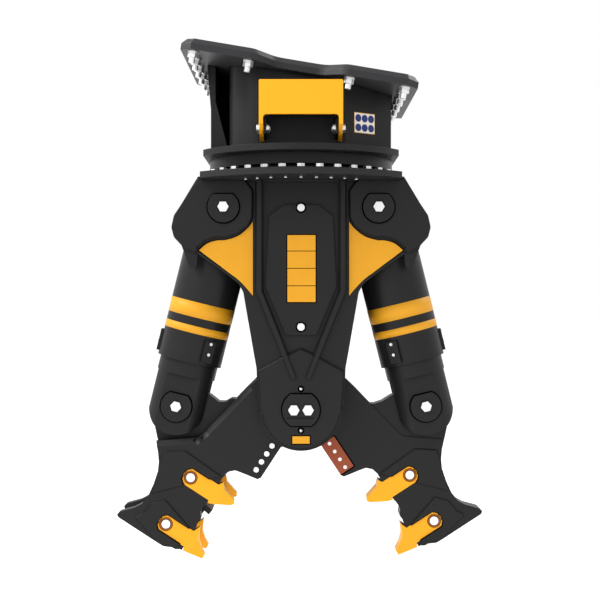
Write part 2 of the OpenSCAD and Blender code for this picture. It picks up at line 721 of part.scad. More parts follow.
module guard_bolts() color(steel) at_guard_bolts() {
    z_hex(2 * guard_bolt_head_r * cos(30), guard_bolt_head);
    translate([0, 0, -guard_t - bracket_t - guard_bolt_head])
        z_hex(2 * guard_bolt_head_r * cos(30), guard_bolt_head);
    translate([0, 0, -guard_t - bracket_t - 1.5 * guard_bolt_head])
        cylinder(r = guard_bolt_r, h = guard_t + bracket_t + 1.5 * guard_bolt_head);
}

module hose_manifold() color("#3c3d3f") difference() {
    block([-port_block_half, -port_block_front, -port_block_bottom],
        [port_block_half, -column_depth, -port_block_top]);
    for (x = [-port_x, port_x]) translate([x, -port_y, -port_block_top - port_depth])
        cylinder(r = port_r, h = port_depth + over);
}

// Frame: top plate, cheeks, doublers, ribs, inner web and covers
module frame_top_plate() color(paint) difference() {
    translate([0, 0, -frame_top]) linear_extrude(top_plate_t) intersection() {
        translate([0, top_edge_shift]) circle(r = top_edge_r, $fn = 128);
        translate([0, -top_edge_shift]) circle(r = top_edge_r, $fn = 128);
        square([2 * top_half, 2 * top_edge_r], center = true);
    }
    at_ring_bolts() translate([0, 0, -ring_stud_depth - over])
        cylinder(r = ring_stud_r, h = ring_stud_depth + 2 * over);
}

module at_main_pin() translate([0, 0, -main_pin_z]) children();
module at_upper_pins() for (s = [-1, 1]) side(s)
    translate([upper_pin_x, 0, -upper_pin_z]) children();

cheek_outline = rounded(both_sides(scaled(cheek_shares, cheek_half, cheek_drop, outline_round)));

module cheek() difference() {
    union() {
        translate([0, 0, -frame_top]) slab(cheek_outline, -cheek_out, -cheek_in);
        at_main_pin() y_rod(cheek_end_r, -cheek_out, -cheek_in);
    }
    at_main_pin() y_rod(main_pin_r + pin_play, -cheek_out - over, -cheek_in + over);
    at_upper_pins() y_rod(upper_pin_r + pin_play, -cheek_out - over, -cheek_in + over);
    cover_holes();
}

module cover_holes() for (z = cover_bolt_shares)
    translate([0, 0, -frame_top + z * cheek_drop]) y_rod(cover_stud_r, -cheek_out - over, -cheek_in + over);

module front_cheek() color(paint) cheek();
module rear_cheek() color(paint) mirror([0, 1, 0]) cheek();

module wing_doubler() translate([0, 0, -frame_top])
    slab(rounded(scaled(wing_shares, cheek_half, cheek_drop, outline_round)), -doubler_out, -cheek_out);

module pivot_doubler(r = pivot_cap_r) {
    translate([0, 0, -frame_top]) slab(rounded(both_sides(scaled(pivot_doubler_shares, cheek_half,
        cheek_drop, 0))), -doubler_out, -cheek_out);
    at_main_pin() y_rod(r, -doubler_out, -cheek_out);
}

module cheek_doublers() color(paint) front_and_back() difference() {
    union() {
        for (s = [-1, 1]) side(s) wing_doubler();
        pivot_doubler();
    }
    at_main_pin() y_rod(main_pin_r + pin_play, -doubler_out - over, -cheek_out + over);
    at_upper_pins() y_rod(upper_pin_r + pin_play, -doubler_out - over, -cheek_out + over);
}

module frame_ribs() color(paint) front_and_back() difference() {
    for (s = [-1, 1]) side(s) translate([0, 0, -frame_top])
        slab(plan(scaled(rib_shares, cheek_half, cheek_drop, 0)), -cheek_out - rib_proud, -cheek_out);
    pivot_doubler(pivot_cap_r + over);
}

module inner_web() color(paint) translate([0, 0, -frame_top]) {
    for (s = [-1, 1]) side(s)
        block([web_half - web_t, -cheek_in, -web_drop], [web_half, cheek_in, 0]);
    for (z = diaphragm_shares) block([-web_half + web_t, -cheek_in, -web_drop * z - web_t],
        [web_half - web_t, cheek_in, -web_drop * z]);
}

module cover_panels() color("#2f3032") front_and_back() difference() {
    translate([0, 0, -frame_top]) slab(rounded(both_sides(scaled(cover_shares, cheek_half,
        cheek_drop, 0))), -cheek_out - cover_t, -cheek_out);
    for (z = cover_bolt_shares) translate([0, 0, -frame_top + z * cheek_drop])
        y_rod(cover_stud_r, -cheek_out - cover_t - over, -cheek_out + over);
}

module cover_bolts() color(steel) front_and_back() for (z = cover_bolt_shares)
    translate([0, 0, -frame_top + z * cheek_drop]) {
        y_rod(cover_bolt_r, -cheek_out - cover_t - cover_bolt_head, -cheek_out - cover_t);
        y_rod(cover_stud_r, -cheek_out - cover_t, -cheek_out + cheek_t / 2);
    }

// Pins, their caps and bolts, and the washers between the jaws and the cheeks
module main_pin() color(steel) at_main_pin() difference() {
    y_rod(main_pin_r, -doubler_out, doubler_out);
    for (x = [-main_bolt_x, main_bolt_x]) translate([x, 0, 0]) front_and_back()
        y_rod(pin_thread_r, -doubler_out - over, -doubler_out + pin_thread_l);
}

module upper_pins() color(steel) at_upper_pins() difference() {
    y_rod(upper_pin_r, -doubler_out, doubler_out);
    front_and_back() y_rod(pin_thread_r, -doubler_out - over, -doubler_out + pin_thread_l);
}

module pin_caps() color(paint) {
    at_main_pin() front_and_back() difference() {
        y_rod(main_cap_r, -doubler_out - cap_t, -doubler_out);
        for (m = [0, 1]) mirror([0, 0, m]) translate([-main_cap_r, -doubler_out - cap_t - over,
            main_cap_flat]) cube([2 * main_cap_r, cap_t + 2 * over, main_cap_r]);
        for (x = [-main_bolt_x, main_bolt_x]) translate([x, 0, 0])
            y_rod(pin_thread_r, -doubler_out - cap_t - over, -doubler_out + over);
    }
    at_upper_pins() front_and_back() difference() {
        y_rod(upper_cap_r, -doubler_out - cap_t, -doubler_out);
        translate([-upper_cap_r, -doubler_out - cap_t - over, upper_cap_r - upper_cap_flat])
            cube([2 * upper_cap_r, cap_t + 2 * over, upper_cap_r]);
        y_rod(pin_thread_r, -doubler_out - cap_t - over, -doubler_out + over);
    }
}

module pin_bolt(face) {
    y_hex(hex_across, -face - cap_t - hex_t, -face - cap_t);
    y_rod(pin_thread_r, -face - cap_t, -face + pin_thread_l);
}

module pin_bolts() color(steel) {
    at_main_pin() front_and_back() for (x = [-main_bolt_x, main_bolt_x])
        translate([x, 0, 0]) pin_bolt(doubler_out);
    at_upper_pins() front_and_back() pin_bolt(doubler_out);
}

module y_washer(y0, y1) difference() {
    y_rod(washer_out_r, y0, y1);
    y_rod(main_pin_r + seat_gap, y0 - over, y1 + over);
}

module thrust_washers() color("#b08d4a") at_main_pin() front_and_back() {
    y_washer(-cheek_in + seat_gap, -stack_out - seat_gap);
    y_washer(-stack_in + seat_gap, -middle_t / 2 - seat_gap);
}

// Cylinders: s runs down the axis from the upper pin
module at_cylinder(s) side(s) translate([upper_pin_x, 0, -upper_pin_z])
    rotate([0, -cyl_tilt, 0]) children();
module tube(r, s0, s1) translate([0, 0, -s1]) cylinder(r = r, h = s1 - s0);
module at_lower_pin() translate([0, 0, -cyl_l]) children();

module cylinder_rod(s) color("#d7d9db") at_cylinder(s) difference() {
    union() {
        y_rod(eye_r, -rod_eye_half, rod_eye_half);
        tube(collar_r, 0, sleeve_start);
        tube(rod_r, 0, rod_end);
        tube(barrel_bore_r - piston_play, rod_end, piston_end);
    }
    y_rod(upper_pin_r + pin_play, -rod_eye_half - over, rod_eye_half + over);
}

module at_pads() for (a = pad_angles) rotate([0, 0, -90 - a])
    translate([0, 0, -sleeve_end + pad_drop]) children();

module cylinder_sleeve(s) color(paint) at_cylinder(s) difference() {
    tube(sleeve_r, sleeve_start, sleeve_end);
    tube(sleeve_r - sleeve_t, sleeve_start + sleeve_cap_t, sleeve_end + over);
    tube(rod_r + sleeve_play, sleeve_start - over, sleeve_start + sleeve_cap_t + over);
}

module guide_pads(s) color(paint) at_cylinder(s) at_pads() difference() {
    translate([sleeve_r - pad_t, -pad_w / 2, 0]) cube([2 * pad_t, pad_w, pad_h]);
    translate([0, 0, -over]) cylinder(r = sleeve_r, h = pad_h + 2 * over);
}

module cylinder_barrel(s) color(paint) at_cylinder(s) difference() {
    union() {
        tube(barrel_r, barrel_start, slot_root);
        intersection() {
            tube(barrel_r, slot_root - over, cyl_l + barrel_r);
            union() {
                at_lower_pin() y_rod(fork_end_r, -fork_w / 2, fork_w / 2);
                block([-barrel_r, -fork_w / 2, -cyl_l], [barrel_r, fork_w / 2, -slot_root + over]);
            }
        }
    }
    tube(barrel_bore_r, barrel_start - over, bore_end);
    block([-barrel_r - over, -fork_slot / 2, -cyl_l - barrel_r - over],
        [barrel_r + over, fork_slot / 2, -slot_root]);
    at_lower_pin() y_rod(lower_pin_r + pin_play, -fork_w / 2 - over, fork_w / 2 + over);
}

module cylinder_gland(s) color("#9a9c9e") at_cylinder(s) difference() {
    tube(barrel_bore_r, barrel_start, barrel_start + gland_t);
    tube(rod_r + gland_play, barrel_start - over, barrel_start + gland_t + over);
}

module lower_pin(s) color(steel) at_cylinder(s) at_lower_pin() difference() {
    union() {
        y_rod(lower_pin_r, -fork_w / 2, fork_w / 2);
        front_and_back() difference() {
            y_rod(lower_cap_r, -fork_w / 2 - cap_t, -fork_w / 2);
            translate([-lower_cap_r, -fork_w / 2 - cap_t - over, lower_cap_r - fork_cap_flat])
                cube([2 * lower_cap_r, cap_t + 2 * over, lower_cap_r]);
        }
    }
    front_and_back() y_rod(pin_thread_r, -fork_w / 2 - cap_t - over, -fork_w / 2 + pin_thread_l);
}

module lower_pin_bolts(s) color(steel) at_cylinder(s) at_lower_pin() front_and_back()
    pin_bolt(fork_w / 2);

module left_rod() cylinder_rod(-1);
module right_rod() cylinder_rod(1);
module left_sleeve() cylinder_sleeve(-1);
module right_sleeve() cylinder_sleeve(1);
module left_guide_pads() guide_pads(-1);
module right_guide_pads() guide_pads(1);
module left_barrel() cylinder_barrel(-1);
module right_barrel() cylinder_barrel(1);
module left_gland() cylinder_gland(-1);
module right_gland() cylinder_gland(1);
module left_lower_pin() lower_pin(-1);
module right_lower_pin() lower_pin(1);
module left_lower_pin_bolts() lower_pin_bolts(-1);
module right_lower_pin_bolts() lower_pin_bolts(1);

// Jaws: outlines run out from the main pin; the left jaw is a fork round the middle one
module at_jaw(s) side(s) at_main_pin() children();
function jaw_points(t) = rounded(scaled(t, jaw_reach, jaw_drop, jaw_round));
function tooth_at(i) = [tooth_at_shares[i][0] * jaw_reach, tooth_at_shares[i][1] * jaw_drop];
function tooth_points(t, i) = [for (p = t) tooth_at(i) + turned(p, tooth_angle)];

slot_plan = [[-seat_cut, slot_w / 2], [-seat_cut, -slot_w / 2], [slot_rear - slot_cham, -slot_w / 2],
    [slot_rear, -slot_w / 2 + slot_cham], [slot_rear, slot_w / 2 - slot_cham],
    [slot_rear - slot_cham, slot_w / 2]];
// Solid round the mouth of a slot, and what is cut away in front of the tooth's seat
pad_plan = [[-tooth_seat, -slot_w / 2 - slot_cham], [slot_rear, -slot_w / 2 - slot_cham],
    [slot_rear, slot_w / 2 + slot_cham], [-tooth_seat, slot_w / 2 + slot_cham]];
front_plan = [[-tooth_seat - tooth_head, -slot_w / 2 - slot_cham],
    [-tooth_seat, -slot_w / 2 - slot_cham], [-tooth_seat, slot_w / 2 + slot_cham],
    [-tooth_seat - tooth_head, slot_w / 2 + slot_cham]];

module jaw_plate(y0, y1) difference() {
    union() {
        slab(jaw_points(jaw_shares), y0, y1);
        y_rod(hub_r, y0, y1);
        for (i = [0, 1]) slab(tooth_points(pad_plan, i), y0, y1);
    }
    tooth_room(y0, y1);
    y_rod(main_pin_r + bush_t, y0 - over, y1 + over);
}

module tooth_room(y0, y1) for (i = [0, 1]) {
    slab(tooth_points(slot_plan, i), y0 - over, y1 + over);
    slab(tooth_points(front_plan, i), y0 - over, y1 + over);
}

// Bevel along the front of an upper edge, as a turned bar that takes the corner off
module edge_bevel(a, b, y) {
    d = b - a;
    translate([a[0], y, a[1]]) rotate([0, -heading(d), 0]) rotate([45, 0, 0])
        translate([-jaw_bevel, -jaw_bevel * sqrt(0.5), -jaw_bevel * sqrt(0.5)])
            cube([norm(d) + 2 * jaw_bevel, jaw_bevel * sqrt(2), jaw_bevel * sqrt(2)]);
}

bevel_points = [for (p = diagonal_shares) [p[0] * jaw_reach, p[1] * jaw_drop]];

module left_jaw_plates() color(paint) at_jaw(-1) difference() {
    front_and_back() difference() {
        jaw_plate(-stack_out, -stack_in);
        for (i = [0:len(bevel_points) - 2]) edge_bevel(bevel_points[i], bevel_points[i + 1], -stack_out);
    }
    blade_bolt_holes(-stack_out - over, -stack_in + over);
}

// Flat bar between the two plates behind the lower tooth
module bar_slab() {
    a = [bar_at_shares[0][0] * jaw_reach, bar_at_shares[0][1] * jaw_drop];
    b = [bar_at_shares[1][0] * jaw_reach, bar_at_shares[1][1] * jaw_drop];
    n = edge_normal(a, b) * bar_h / 2;
    slab([a - n, b - n, b + n, a + n], -stack_in, stack_in);
}

module left_jaw_core() color(paint) at_jaw(-1) difference() {
    union() {
        slab(jaw_points(left_lug_shares), -lug_t / 2, lug_t / 2);
        translate([lug_x, 0, lug_z]) y_rod(lug_eye_r, -lug_t / 2, lug_t / 2);
        slab(jaw_points(left_block_shares), -stack_in, stack_in);
        bar_slab();
    }
    lug_bore();
}

module lug_bore() translate([lug_x, 0, lug_z])
    y_rod(lower_pin_r + lug_bore_extra, -lug_t / 2 - over, lug_t / 2 + over);

module bush(y0, y1) difference() {
    y_rod(main_pin_r + bush_t, y0, y1);
    y_rod(main_pin_r + pin_play, y0 - over, y1 + over);
}

module left_jaw_bushes() color("#b08d4a") at_jaw(-1) front_and_back() bush(-stack_out, -stack_in);
module right_jaw_bush() color("#b08d4a") at_jaw(1) bush(-middle_t / 2, middle_t / 2);

module right_jaw_body() color(paint) at_jaw(1) difference() {
    union() {
        jaw_plate(-middle_t / 2, middle_t / 2);
        slab(jaw_points(right_lug_shares), -lug_t / 2, lug_t / 2);
        translate([lug_x, 0, lug_z]) y_rod(lug_eye_r, -lug_t / 2, lug_t / 2);
    }
    lug_bore();
    blade_plate(-middle_t / 2 - over, -middle_t / 2 + blade_t, slot_play);
    blade_bolt_holes(-middle_t / 2, middle_t / 2 + over);
    blade_heads(middle_t / 2 - blade_nut_sink, middle_t / 2 + over, blade_head_r + bolt_play);
}

module wear_set(y_face, out) {
    for (t = [upper_wear_shares, lower_wear_shares]) difference() {
        slab(jaw_points(t), min(y_face, y_face + out * wear_t), max(y_face, y_face + out * wear_t));
        tooth_room(y_face - wear_t, y_face + wear_t);
    }
}

module left_wear_plates() color(paint) at_jaw(-1) front_and_back() wear_set(-stack_out, -1);
module right_wear_plates() color(paint) at_jaw(1) front_and_back() wear_set(-middle_t / 2, -1);

// Teeth: shank in the slot, head on the seat, sunk bolt right through
shank_plan = [[-tooth_seat - over, slot_w / 2 - slot_play], [-tooth_seat - over, -slot_w / 2 + slot_play],
    [slot_rear - slot_cham - slot_play, -slot_w / 2 + slot_play],
    [slot_rear - slot_play, -slot_w / 2 + slot_cham + slot_play],
    [slot_rear - slot_play, slot_w / 2 - slot_cham - slot_play],
    [slot_rear - slot_cham - slot_play, slot_w / 2 - slot_play]];
function head_plan(t) = [for (p = t) [-tooth_seat + p[0] * tooth_head, p[1] * slot_w / 2]];

module at_tooth(i) {
    c = tooth_at(i);
    translate([c[0], 0, c[1]]) rotate([0, -tooth_angle, 0]) children();
}

module tooth(i, y0, y1) at_tooth(i) difference() {
    union() {
        slab(shank_plan, y0, y1);
        difference() {
            slab(head_plan(i == 0 ? upper_head_shares : lower_head_shares), y0, y1);
            for (y = [y0, y1]) translate([0, 0, -slot_w]) linear_extrude(2 * slot_w)
                polygon([[-tooth_seat - tooth_head - over, y],
                    [-tooth_seat - tooth_head - over, y + (y == y0 ? 1 : -1) * (head_taper + over)],
                    [-tooth_seat - tooth_head / 3, y]]);
        }
    }
    y_rod(tooth_bolt_r + bolt_play, y0 - over, y1 + over);
    y_rod(tooth_sink_r, y0 - over, y0 + tooth_sink);
    y_rod(tooth_sink_r, y1 - tooth_sink, y1 + over);
}

module tooth_bolt(i, y0, y1) at_tooth(i) {
    y_rod(tooth_bolt_r, y0 + tooth_sink, y1 - tooth_sink);
    y_rod(tooth_bolt_head_r, y0 + tooth_sink - tooth_bolt_head, y0 + tooth_sink);
    y_hex(2 * tooth_bolt_head_r * cos(30), y1 - tooth_sink, y1 - tooth_sink + tooth_bolt_head);
}

module left_teeth() color(yellow) at_jaw(-1) front_and_back() for (i = [0, 1])
    tooth(i, -stack_out, -stack_in);
module left_tooth_bolts() color(steel) at_jaw(-1) front_and_back() for (i = [0, 1])
    tooth_bolt(i, -stack_out, -stack_in);
module right_teeth() color(yellow) at_jaw(1) for (i = [0, 1]) tooth(i, -middle_t / 2, middle_t / 2);
module right_tooth_bolts() color(steel) at_jaw(1) for (i = [0, 1])
    tooth_bolt(i, -middle_t / 2, middle_t / 2);

// Cutting blades that pass each other behind the near plate
blade_at = [blade_at_shares[0] * jaw_reach, blade_at_shares[1] * jaw_drop];
blade_in = [-blade_dir[1], blade_dir[0]];

module blade_plate(y0, y1, play) slab([blade_at - blade_dir * play - blade_in * (play > 0 ? blade_w : 0),
    blade_at + blade_dir * (blade_l + play) - blade_in * (play > 0 ? blade_w : 0),
    blade_at + blade_dir * (blade_l + play) + blade_in * (blade_w + play),
    blade_at - blade_dir * play + blade_in * (blade_w + play)], y0, y1);

module at_blade_bolts() for (i = [0:blade_bolt_n - 1]) {
    p = blade_at + blade_dir * (blade_bolt_start + i * blade_bolt_pitch) + blade_in * blade_bolt_in;
    translate([p[0], 0, p[1]]) children();
}

module blade_bolt_holes(y0, y1) at_blade_bolts() y_rod(blade_bolt_r, y0, y1);
module blade_heads(y0, y1, r) at_blade_bolts() y_rod(r, y0, y1);

module left_blade() color("#77787a") at_jaw(-1) difference() {
    blade_plate(-stack_in, -stack_in + blade_t, 0);
    blade_bolt_holes(-stack_in - over, -stack_in + blade_t + over);
}

module right_blade() color("#8e4a38") at_jaw(1) difference() {
    blade_plate(-middle_t / 2, -middle_t / 2 + blade_t, 0);
    blade_bolt_holes(-middle_t / 2 - over, -middle_t / 2 + blade_t + over);
}

module left_blade_bolts() color(steel) at_jaw(-1) at_blade_bolts() {
    y_rod(blade_head_r, -stack_out - blade_head_t, -stack_out);
    y_rod(blade_bolt_r, -stack_out, -stack_in + blade_t);
}

module right_blade_bolts() color(steel) at_jaw(1) at_blade_bolts() {
    y_rod(blade_bolt_r, -middle_t / 2, middle_t / 2 - blade_nut_sink);
    y_hex(2 * blade_head_r * cos(30), middle_t / 2 - blade_nut_sink, middle_t / 2);
}

mounting_plate();
mounting_bolts();
mounting_nuts();
saddle_column();
saddle_base_plate();
race_bolts();
slew_outer_race();
slew_motor();
swivel_stator();
hose_manifold();
hose_guard();
guard_brackets();
guard_bolts();
slew_pinion();
slew_ring_gear();
slew_balls();
slew_bolts();
swivel_rotor();
frame_top_plate();
front_cheek();
rear_cheek();
cheek_doublers();
frame_ribs();
inner_web();
cover_panels();
cover_bolts();
main_pin();
upper_pins();
pin_caps();
pin_bolts();
thrust_washers();
left_rod();
left_sleeve();
left_guide_pads();
left_barrel();
left_gland();
left_lower_pin();
left_lower_pin_bolts();
right_rod();
right_sleeve();
right_guide_pads();
right_barrel();
right_gland();
right_lower_pin();
right_lower_pin_bolts();
left_jaw_plates();
left_jaw_core();
left_jaw_bushes();
left_wear_plates();
left_teeth();
left_tooth_bolts();
left_blade();
left_blade_bolts();
right_jaw_body();
right_jaw_bush();
right_wear_plates();
right_teeth();
right_tooth_bolts();
right_blade();
right_blade_bolts();
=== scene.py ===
"""Finish, decals, weld beads and studio for the demolition multiprocessor, built round its solids."""

import json

import bmesh
import bpy
import numpy as np
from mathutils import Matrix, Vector


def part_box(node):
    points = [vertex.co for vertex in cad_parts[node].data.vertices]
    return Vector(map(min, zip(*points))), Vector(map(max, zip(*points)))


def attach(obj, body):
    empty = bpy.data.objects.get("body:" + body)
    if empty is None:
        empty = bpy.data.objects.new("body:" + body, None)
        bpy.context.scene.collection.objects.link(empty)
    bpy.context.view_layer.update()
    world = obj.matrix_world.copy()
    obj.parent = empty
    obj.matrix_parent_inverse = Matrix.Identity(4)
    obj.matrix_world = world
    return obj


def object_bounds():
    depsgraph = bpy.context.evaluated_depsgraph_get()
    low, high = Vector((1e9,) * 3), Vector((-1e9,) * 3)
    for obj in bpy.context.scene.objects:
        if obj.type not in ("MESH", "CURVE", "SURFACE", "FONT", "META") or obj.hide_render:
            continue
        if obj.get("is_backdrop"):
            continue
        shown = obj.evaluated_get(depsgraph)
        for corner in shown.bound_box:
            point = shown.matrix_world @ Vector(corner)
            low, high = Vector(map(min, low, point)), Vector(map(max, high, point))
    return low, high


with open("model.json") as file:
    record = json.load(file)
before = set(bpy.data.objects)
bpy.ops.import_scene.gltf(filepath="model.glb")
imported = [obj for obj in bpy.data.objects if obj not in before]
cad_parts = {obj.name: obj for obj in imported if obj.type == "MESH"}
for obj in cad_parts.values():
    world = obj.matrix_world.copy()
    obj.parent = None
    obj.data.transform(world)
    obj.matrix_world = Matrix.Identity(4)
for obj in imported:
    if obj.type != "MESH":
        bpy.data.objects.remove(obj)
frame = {"nodes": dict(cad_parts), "record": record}

bl_info = {
    "name": "Demolition multiprocessor looks",
    "version": (1, 0, 0),
    "blender": (4, 5, 0),
    "location": "3D View > Sidebar > Multiprocessor",
    "description": "Paints, decals, weld beads and a studio for the demolition multiprocessor",
    "category": "Object",
}

MM = 0.001
JOINTS = {j["name"]: j for j in frame["record"]["behaviour"]["joints"]}
MAIN_PIN = np.array(JOINTS["right_jaw_hinge"]["pos_m"])
UPPER_PIN = np.array(JOINTS["right_rod_swing"]["pos_m"])
DOWN_AXIS = np.array(JOINTS["right_barrel_slide"]["axis"])
MOUNT = next(m for m in frame["record"]["mounts"] if m["name"] == "mounting_face")


def low(node):
    """Lowest corner of a solid as an array, in metres."""
    return np.array(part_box(node)[0])


def high(node):
    """Highest corner of a solid as an array, in metres."""
    return np.array(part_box(node)[1])


def both_faces(node):
    """The y of a solid's front and rear face, each with the direction that leads out of it."""
    return (low(node)[1], -1), (high(node)[1], 1)


CHEEK_FACE = low("front_cheek")[1]
DOUBLER_FACE = low("cheek_doublers")[1]
COVER_FACE = low("cover_panels")[1]
SIDES = (("left", -1), ("right", 1))
JAW_NODE = {"left": "left_jaw_plates", "right": "right_jaw_body"}


# Sizes and colours that a user may change

class PaintSettings(bpy.types.PropertyGroup):
    """Colours of the paints and metals, as sRGB hex."""
    black: bpy.props.StringProperty(
        name="Black paint", description="Satin top coat of frame, saddle and jaws", default="#171717")
    plate: bpy.props.StringProperty(
        name="Plate paint", description="Paint of the mounting plate", default="#2a2a2c")
    flange: bpy.props.StringProperty(
        name="Flange paint", description="Paint of the frame's top plate", default="#1f1f1f")
    yellow: bpy.props.StringProperty(
        name="Yellow paint", description="Paint of the hose guard and the teeth", default="#f2a416")
    vinyl: bpy.props.StringProperty(
        name="Yellow vinyl", description="Film of the decals and stripes", default="#d8981f")
    zinc: bpy.props.StringProperty(
        name="Zinc", description="Bright zinc plating of the bolts", default="#f4f5f6")
    primer: bpy.props.StringProperty(
        name="Red primer", description="Reddish brown blade", default="#94492f")
    # Painted shade: this brown stands for the yellow of a tooth's counterbore as it looks in shade.
    ring: bpy.props.StringProperty(
        name="Ring brown", description="Orange brown washer round a tooth's bolt", default="#a85c12")
    blue: bpy.props.StringProperty(
        name="Disc blue", description="Discs on the small plate", default="#2b3a78")


class DecalSettings(bpy.types.PropertyGroup):
    """Sizes of decals, beads and small plates."""
    film: bpy.props.FloatProperty(
        name="Film", description="Thickness of a decal", default=0.6 * MM, unit="LENGTH")
    bead: bpy.props.FloatProperty(
        name="Weld leg", description="Leg of a fillet weld", default=8 * MM, unit="LENGTH")
    ripple: bpy.props.FloatProperty(
        name="Ripple pitch", description="Distance between the ripples of a weld", default=11 * MM,
        unit="LENGTH")


class StudioSettings(bpy.types.PropertyGroup):
    """Camera and light of the studio."""
    distance: bpy.props.FloatProperty(
        name="Distance", description="Camera in front of the slewing axis", default=5.2, unit="LENGTH")
    height: bpy.props.FloatProperty(
        name="Height", description="Camera below the mounting face", default=-0.987, unit="LENGTH")
    focal_px: bpy.props.FloatProperty(
        name="Focal length", description="Focal length in pixels of the 600 pixel frame", default=1181.8)
    surround: bpy.props.FloatProperty(
        name="Surround", description="Brightness of the white room", default=1.0)
    floor_glow: bpy.props.FloatProperty(
        name="Floor glow", description="Light of the floor itself, which keeps it white", default=0.3)
    key_power: bpy.props.FloatProperty(
        name="Key light", description="Power of the soft light at the front left", default=95)
    edge_power: bpy.props.FloatProperty(
        name="Edge light", description="Power of the light above the left side", default=150)
    rim_power: bpy.props.FloatProperty(
        name="Rim light", description="Power of the light behind the tool", default=60)
    floor_gap: bpy.props.FloatProperty(
        name="Floor gap", description="Room between the teeth and the floor", default=0.12, unit="LENGTH")


def paints():
    """The colours as they are set now."""
    return bpy.context.scene.mp_paint


def decals():
    """The sizes of films and welds as they are set now."""
    return bpy.context.scene.mp_decal


def studio():
    """The camera and the lights as they are set now."""
    return bpy.context.scene.mp_studio


# Colours, shader nodes and materials

PEEL_GRAIN = 9 * MM      # orange peel is 2 to 3 mm wide in life; coarser grains show at this size
DUST_CLOUD = 180 * MM    # dust settles in patches as wide as a hand
SEAM_SHADE_REACH = 16 * MM     # painted shade reaches this far from a seam, where plates lie on each other
METAL_EDGE = 1 * MM      # the round that catches the light on a bare edge
MARK_DEPTH = 0.05 * MM   # tool marks in bare metal


def linear(code):
    """sRGB hex to linear RGBA: a channel c is c / 12.92 near black, else ((c + 0.055) / 1.055) ** 2.4."""
    c = np.array([int(code[i:i + 2], 16) for i in (1, 3, 5)]) / 255
    return (*np.where(c <= 0.04045, c / 12.92, ((c + 0.055) / 1.055) ** 2.4), 1.0)


def add(tree, kind, links=None, values=None, **settings):
    """Adds a shader node, sets its properties and its inputs' values, and links inputs from other sockets."""
    node = tree.nodes.new(kind)
    for key, value in settings.items():
        if key in node.inputs:
            node.inputs[key].default_value = value
        else:
            setattr(node, key, value)
    for key, value in (values or {}).items():
        node.inputs[key].default_value = value
    for key, socket in (links or {}).items():
        tree.links.new(socket, node.inputs[key])
    return node


def new_tree(name):
    """A new material, its node tree and its principled shader."""
    material = bpy.data.materials.new(name)
    material.use_nodes = True
    return material, material.node_tree, material.node_tree.nodes["Principled BSDF"]


def mixed(tree, factor, a, b):
    """Colour between a and b; either may be a socket or an RGBA colour."""
    node = add(tree, "ShaderNodeMix", data_type="RGBA")
    tree.links.new(factor, node.inputs[0])
    for index, value in ((6, a), (7, b)):
        if isinstance(value, bpy.types.NodeSocket):
            tree.links.new(value, node.inputs[index])
        else:
            node.inputs[index].default_value = value
    return node.outputs[2]


def shade(colour, factor):
    """The same colour, darker or lighter by factor."""
    return (*[min(1.0, c * factor) for c in colour[:3]], 1.0)


def noise_bump(tree, coords, pitch, depth, strength, normal=None):
    """Bump from a noise whose grains are pitch metres wide and depth metres high."""
    noise = add(tree, "ShaderNodeTexNoise", {"Vector": coords}, Scale=1 / pitch, Detail=2.0)
    links = {"Height": noise.outputs["Fac"]}
    if normal is not None:
        links["Normal"] = normal
    return add(tree, "ShaderNodeBump", links, Strength=strength, Distance=depth).outputs["Normal"]


def edge_mask(tree, radius):
    """Normal rounded over radius at the edges, and a mask that is 1 on the edge and 0 away from it."""
    bevel = add(tree, "ShaderNodeBevel", samples=6, Radius=radius)
    geometry = add(tree, "ShaderNodeNewGeometry")
    dot = add(tree, "ShaderNodeVectorMath", {0: bevel.outputs["Normal"], 1: geometry.outputs["Normal"]},
              operation="DOT_PRODUCT")
    mask = add(tree, "ShaderNodeMapRange", {"Value": dot.outputs["Value"]},
               {"From Min": 0.995, "From Max": 0.9})
    return bevel.outputs["Normal"], mask.outputs["Result"]


def sprayed_paint(name, code, roughness, radius=2.5 * MM, dust=0.25, rub=0.12):
    """Two-pack enamel on blasted steel: satin, with orange peel, a breath of dust, rubbed edges, and painted
    shade that darkens the colour in seams and corners.
    """
    material, tree, shader = new_tree(name)
    coords = add(tree, "ShaderNodeTexCoord").outputs["Object"]
    rounded, edge = edge_mask(tree, radius)
    base = linear(code)
    peel = noise_bump(tree, coords, PEEL_GRAIN, 0.25 * MM, 0.35, rounded)
    cloud = add(tree, "ShaderNodeTexNoise", {"Vector": coords}, Scale=1 / DUST_CLOUD, Detail=4.0)
    haze = add(tree, "ShaderNodeMapRange", {"Value": cloud.outputs["Fac"]},
               {"From Min": 0.45, "From Max": 0.75, "To Max": dust})
    dusty = mixed(tree, haze.outputs["Result"], base, shade(base, 1.35))
    worn = add(tree, "ShaderNodeMath", {0: edge}, {1: rub}, operation="MULTIPLY")
    rubbed = mixed(tree, worn.outputs[0], dusty, shade(base, 3.2))
    # Painted shade: the colour darkens to a tenth of the paint's where ambient occlusion finds a seam or
    # corner.
    seam_shade_ao = add(tree, "ShaderNodeAmbientOcclusion", samples=6, Distance=SEAM_SHADE_REACH)
    unshaded_share = add(tree, "ShaderNodeMapRange", {"Value": seam_shade_ao.outputs["AO"]},
                  {"From Min": 0.4, "From Max": 0.95})
    tree.links.new(mixed(tree, unshaded_share.outputs["Result"], shade(base, 0.1), rubbed),
                   shader.inputs["Base Color"])
    gloss = add(tree, "ShaderNodeMapRange", {"Value": cloud.outputs["Fac"]},
                {"To Min": roughness - 0.05, "To Max": roughness + 0.07})
    tree.links.new(gloss.outputs["Result"], shader.inputs["Roughness"])
    tree.links.new(peel, shader.inputs["Normal"])
    shader.inputs["Specular IOR Level"].default_value = 0.23
    return material


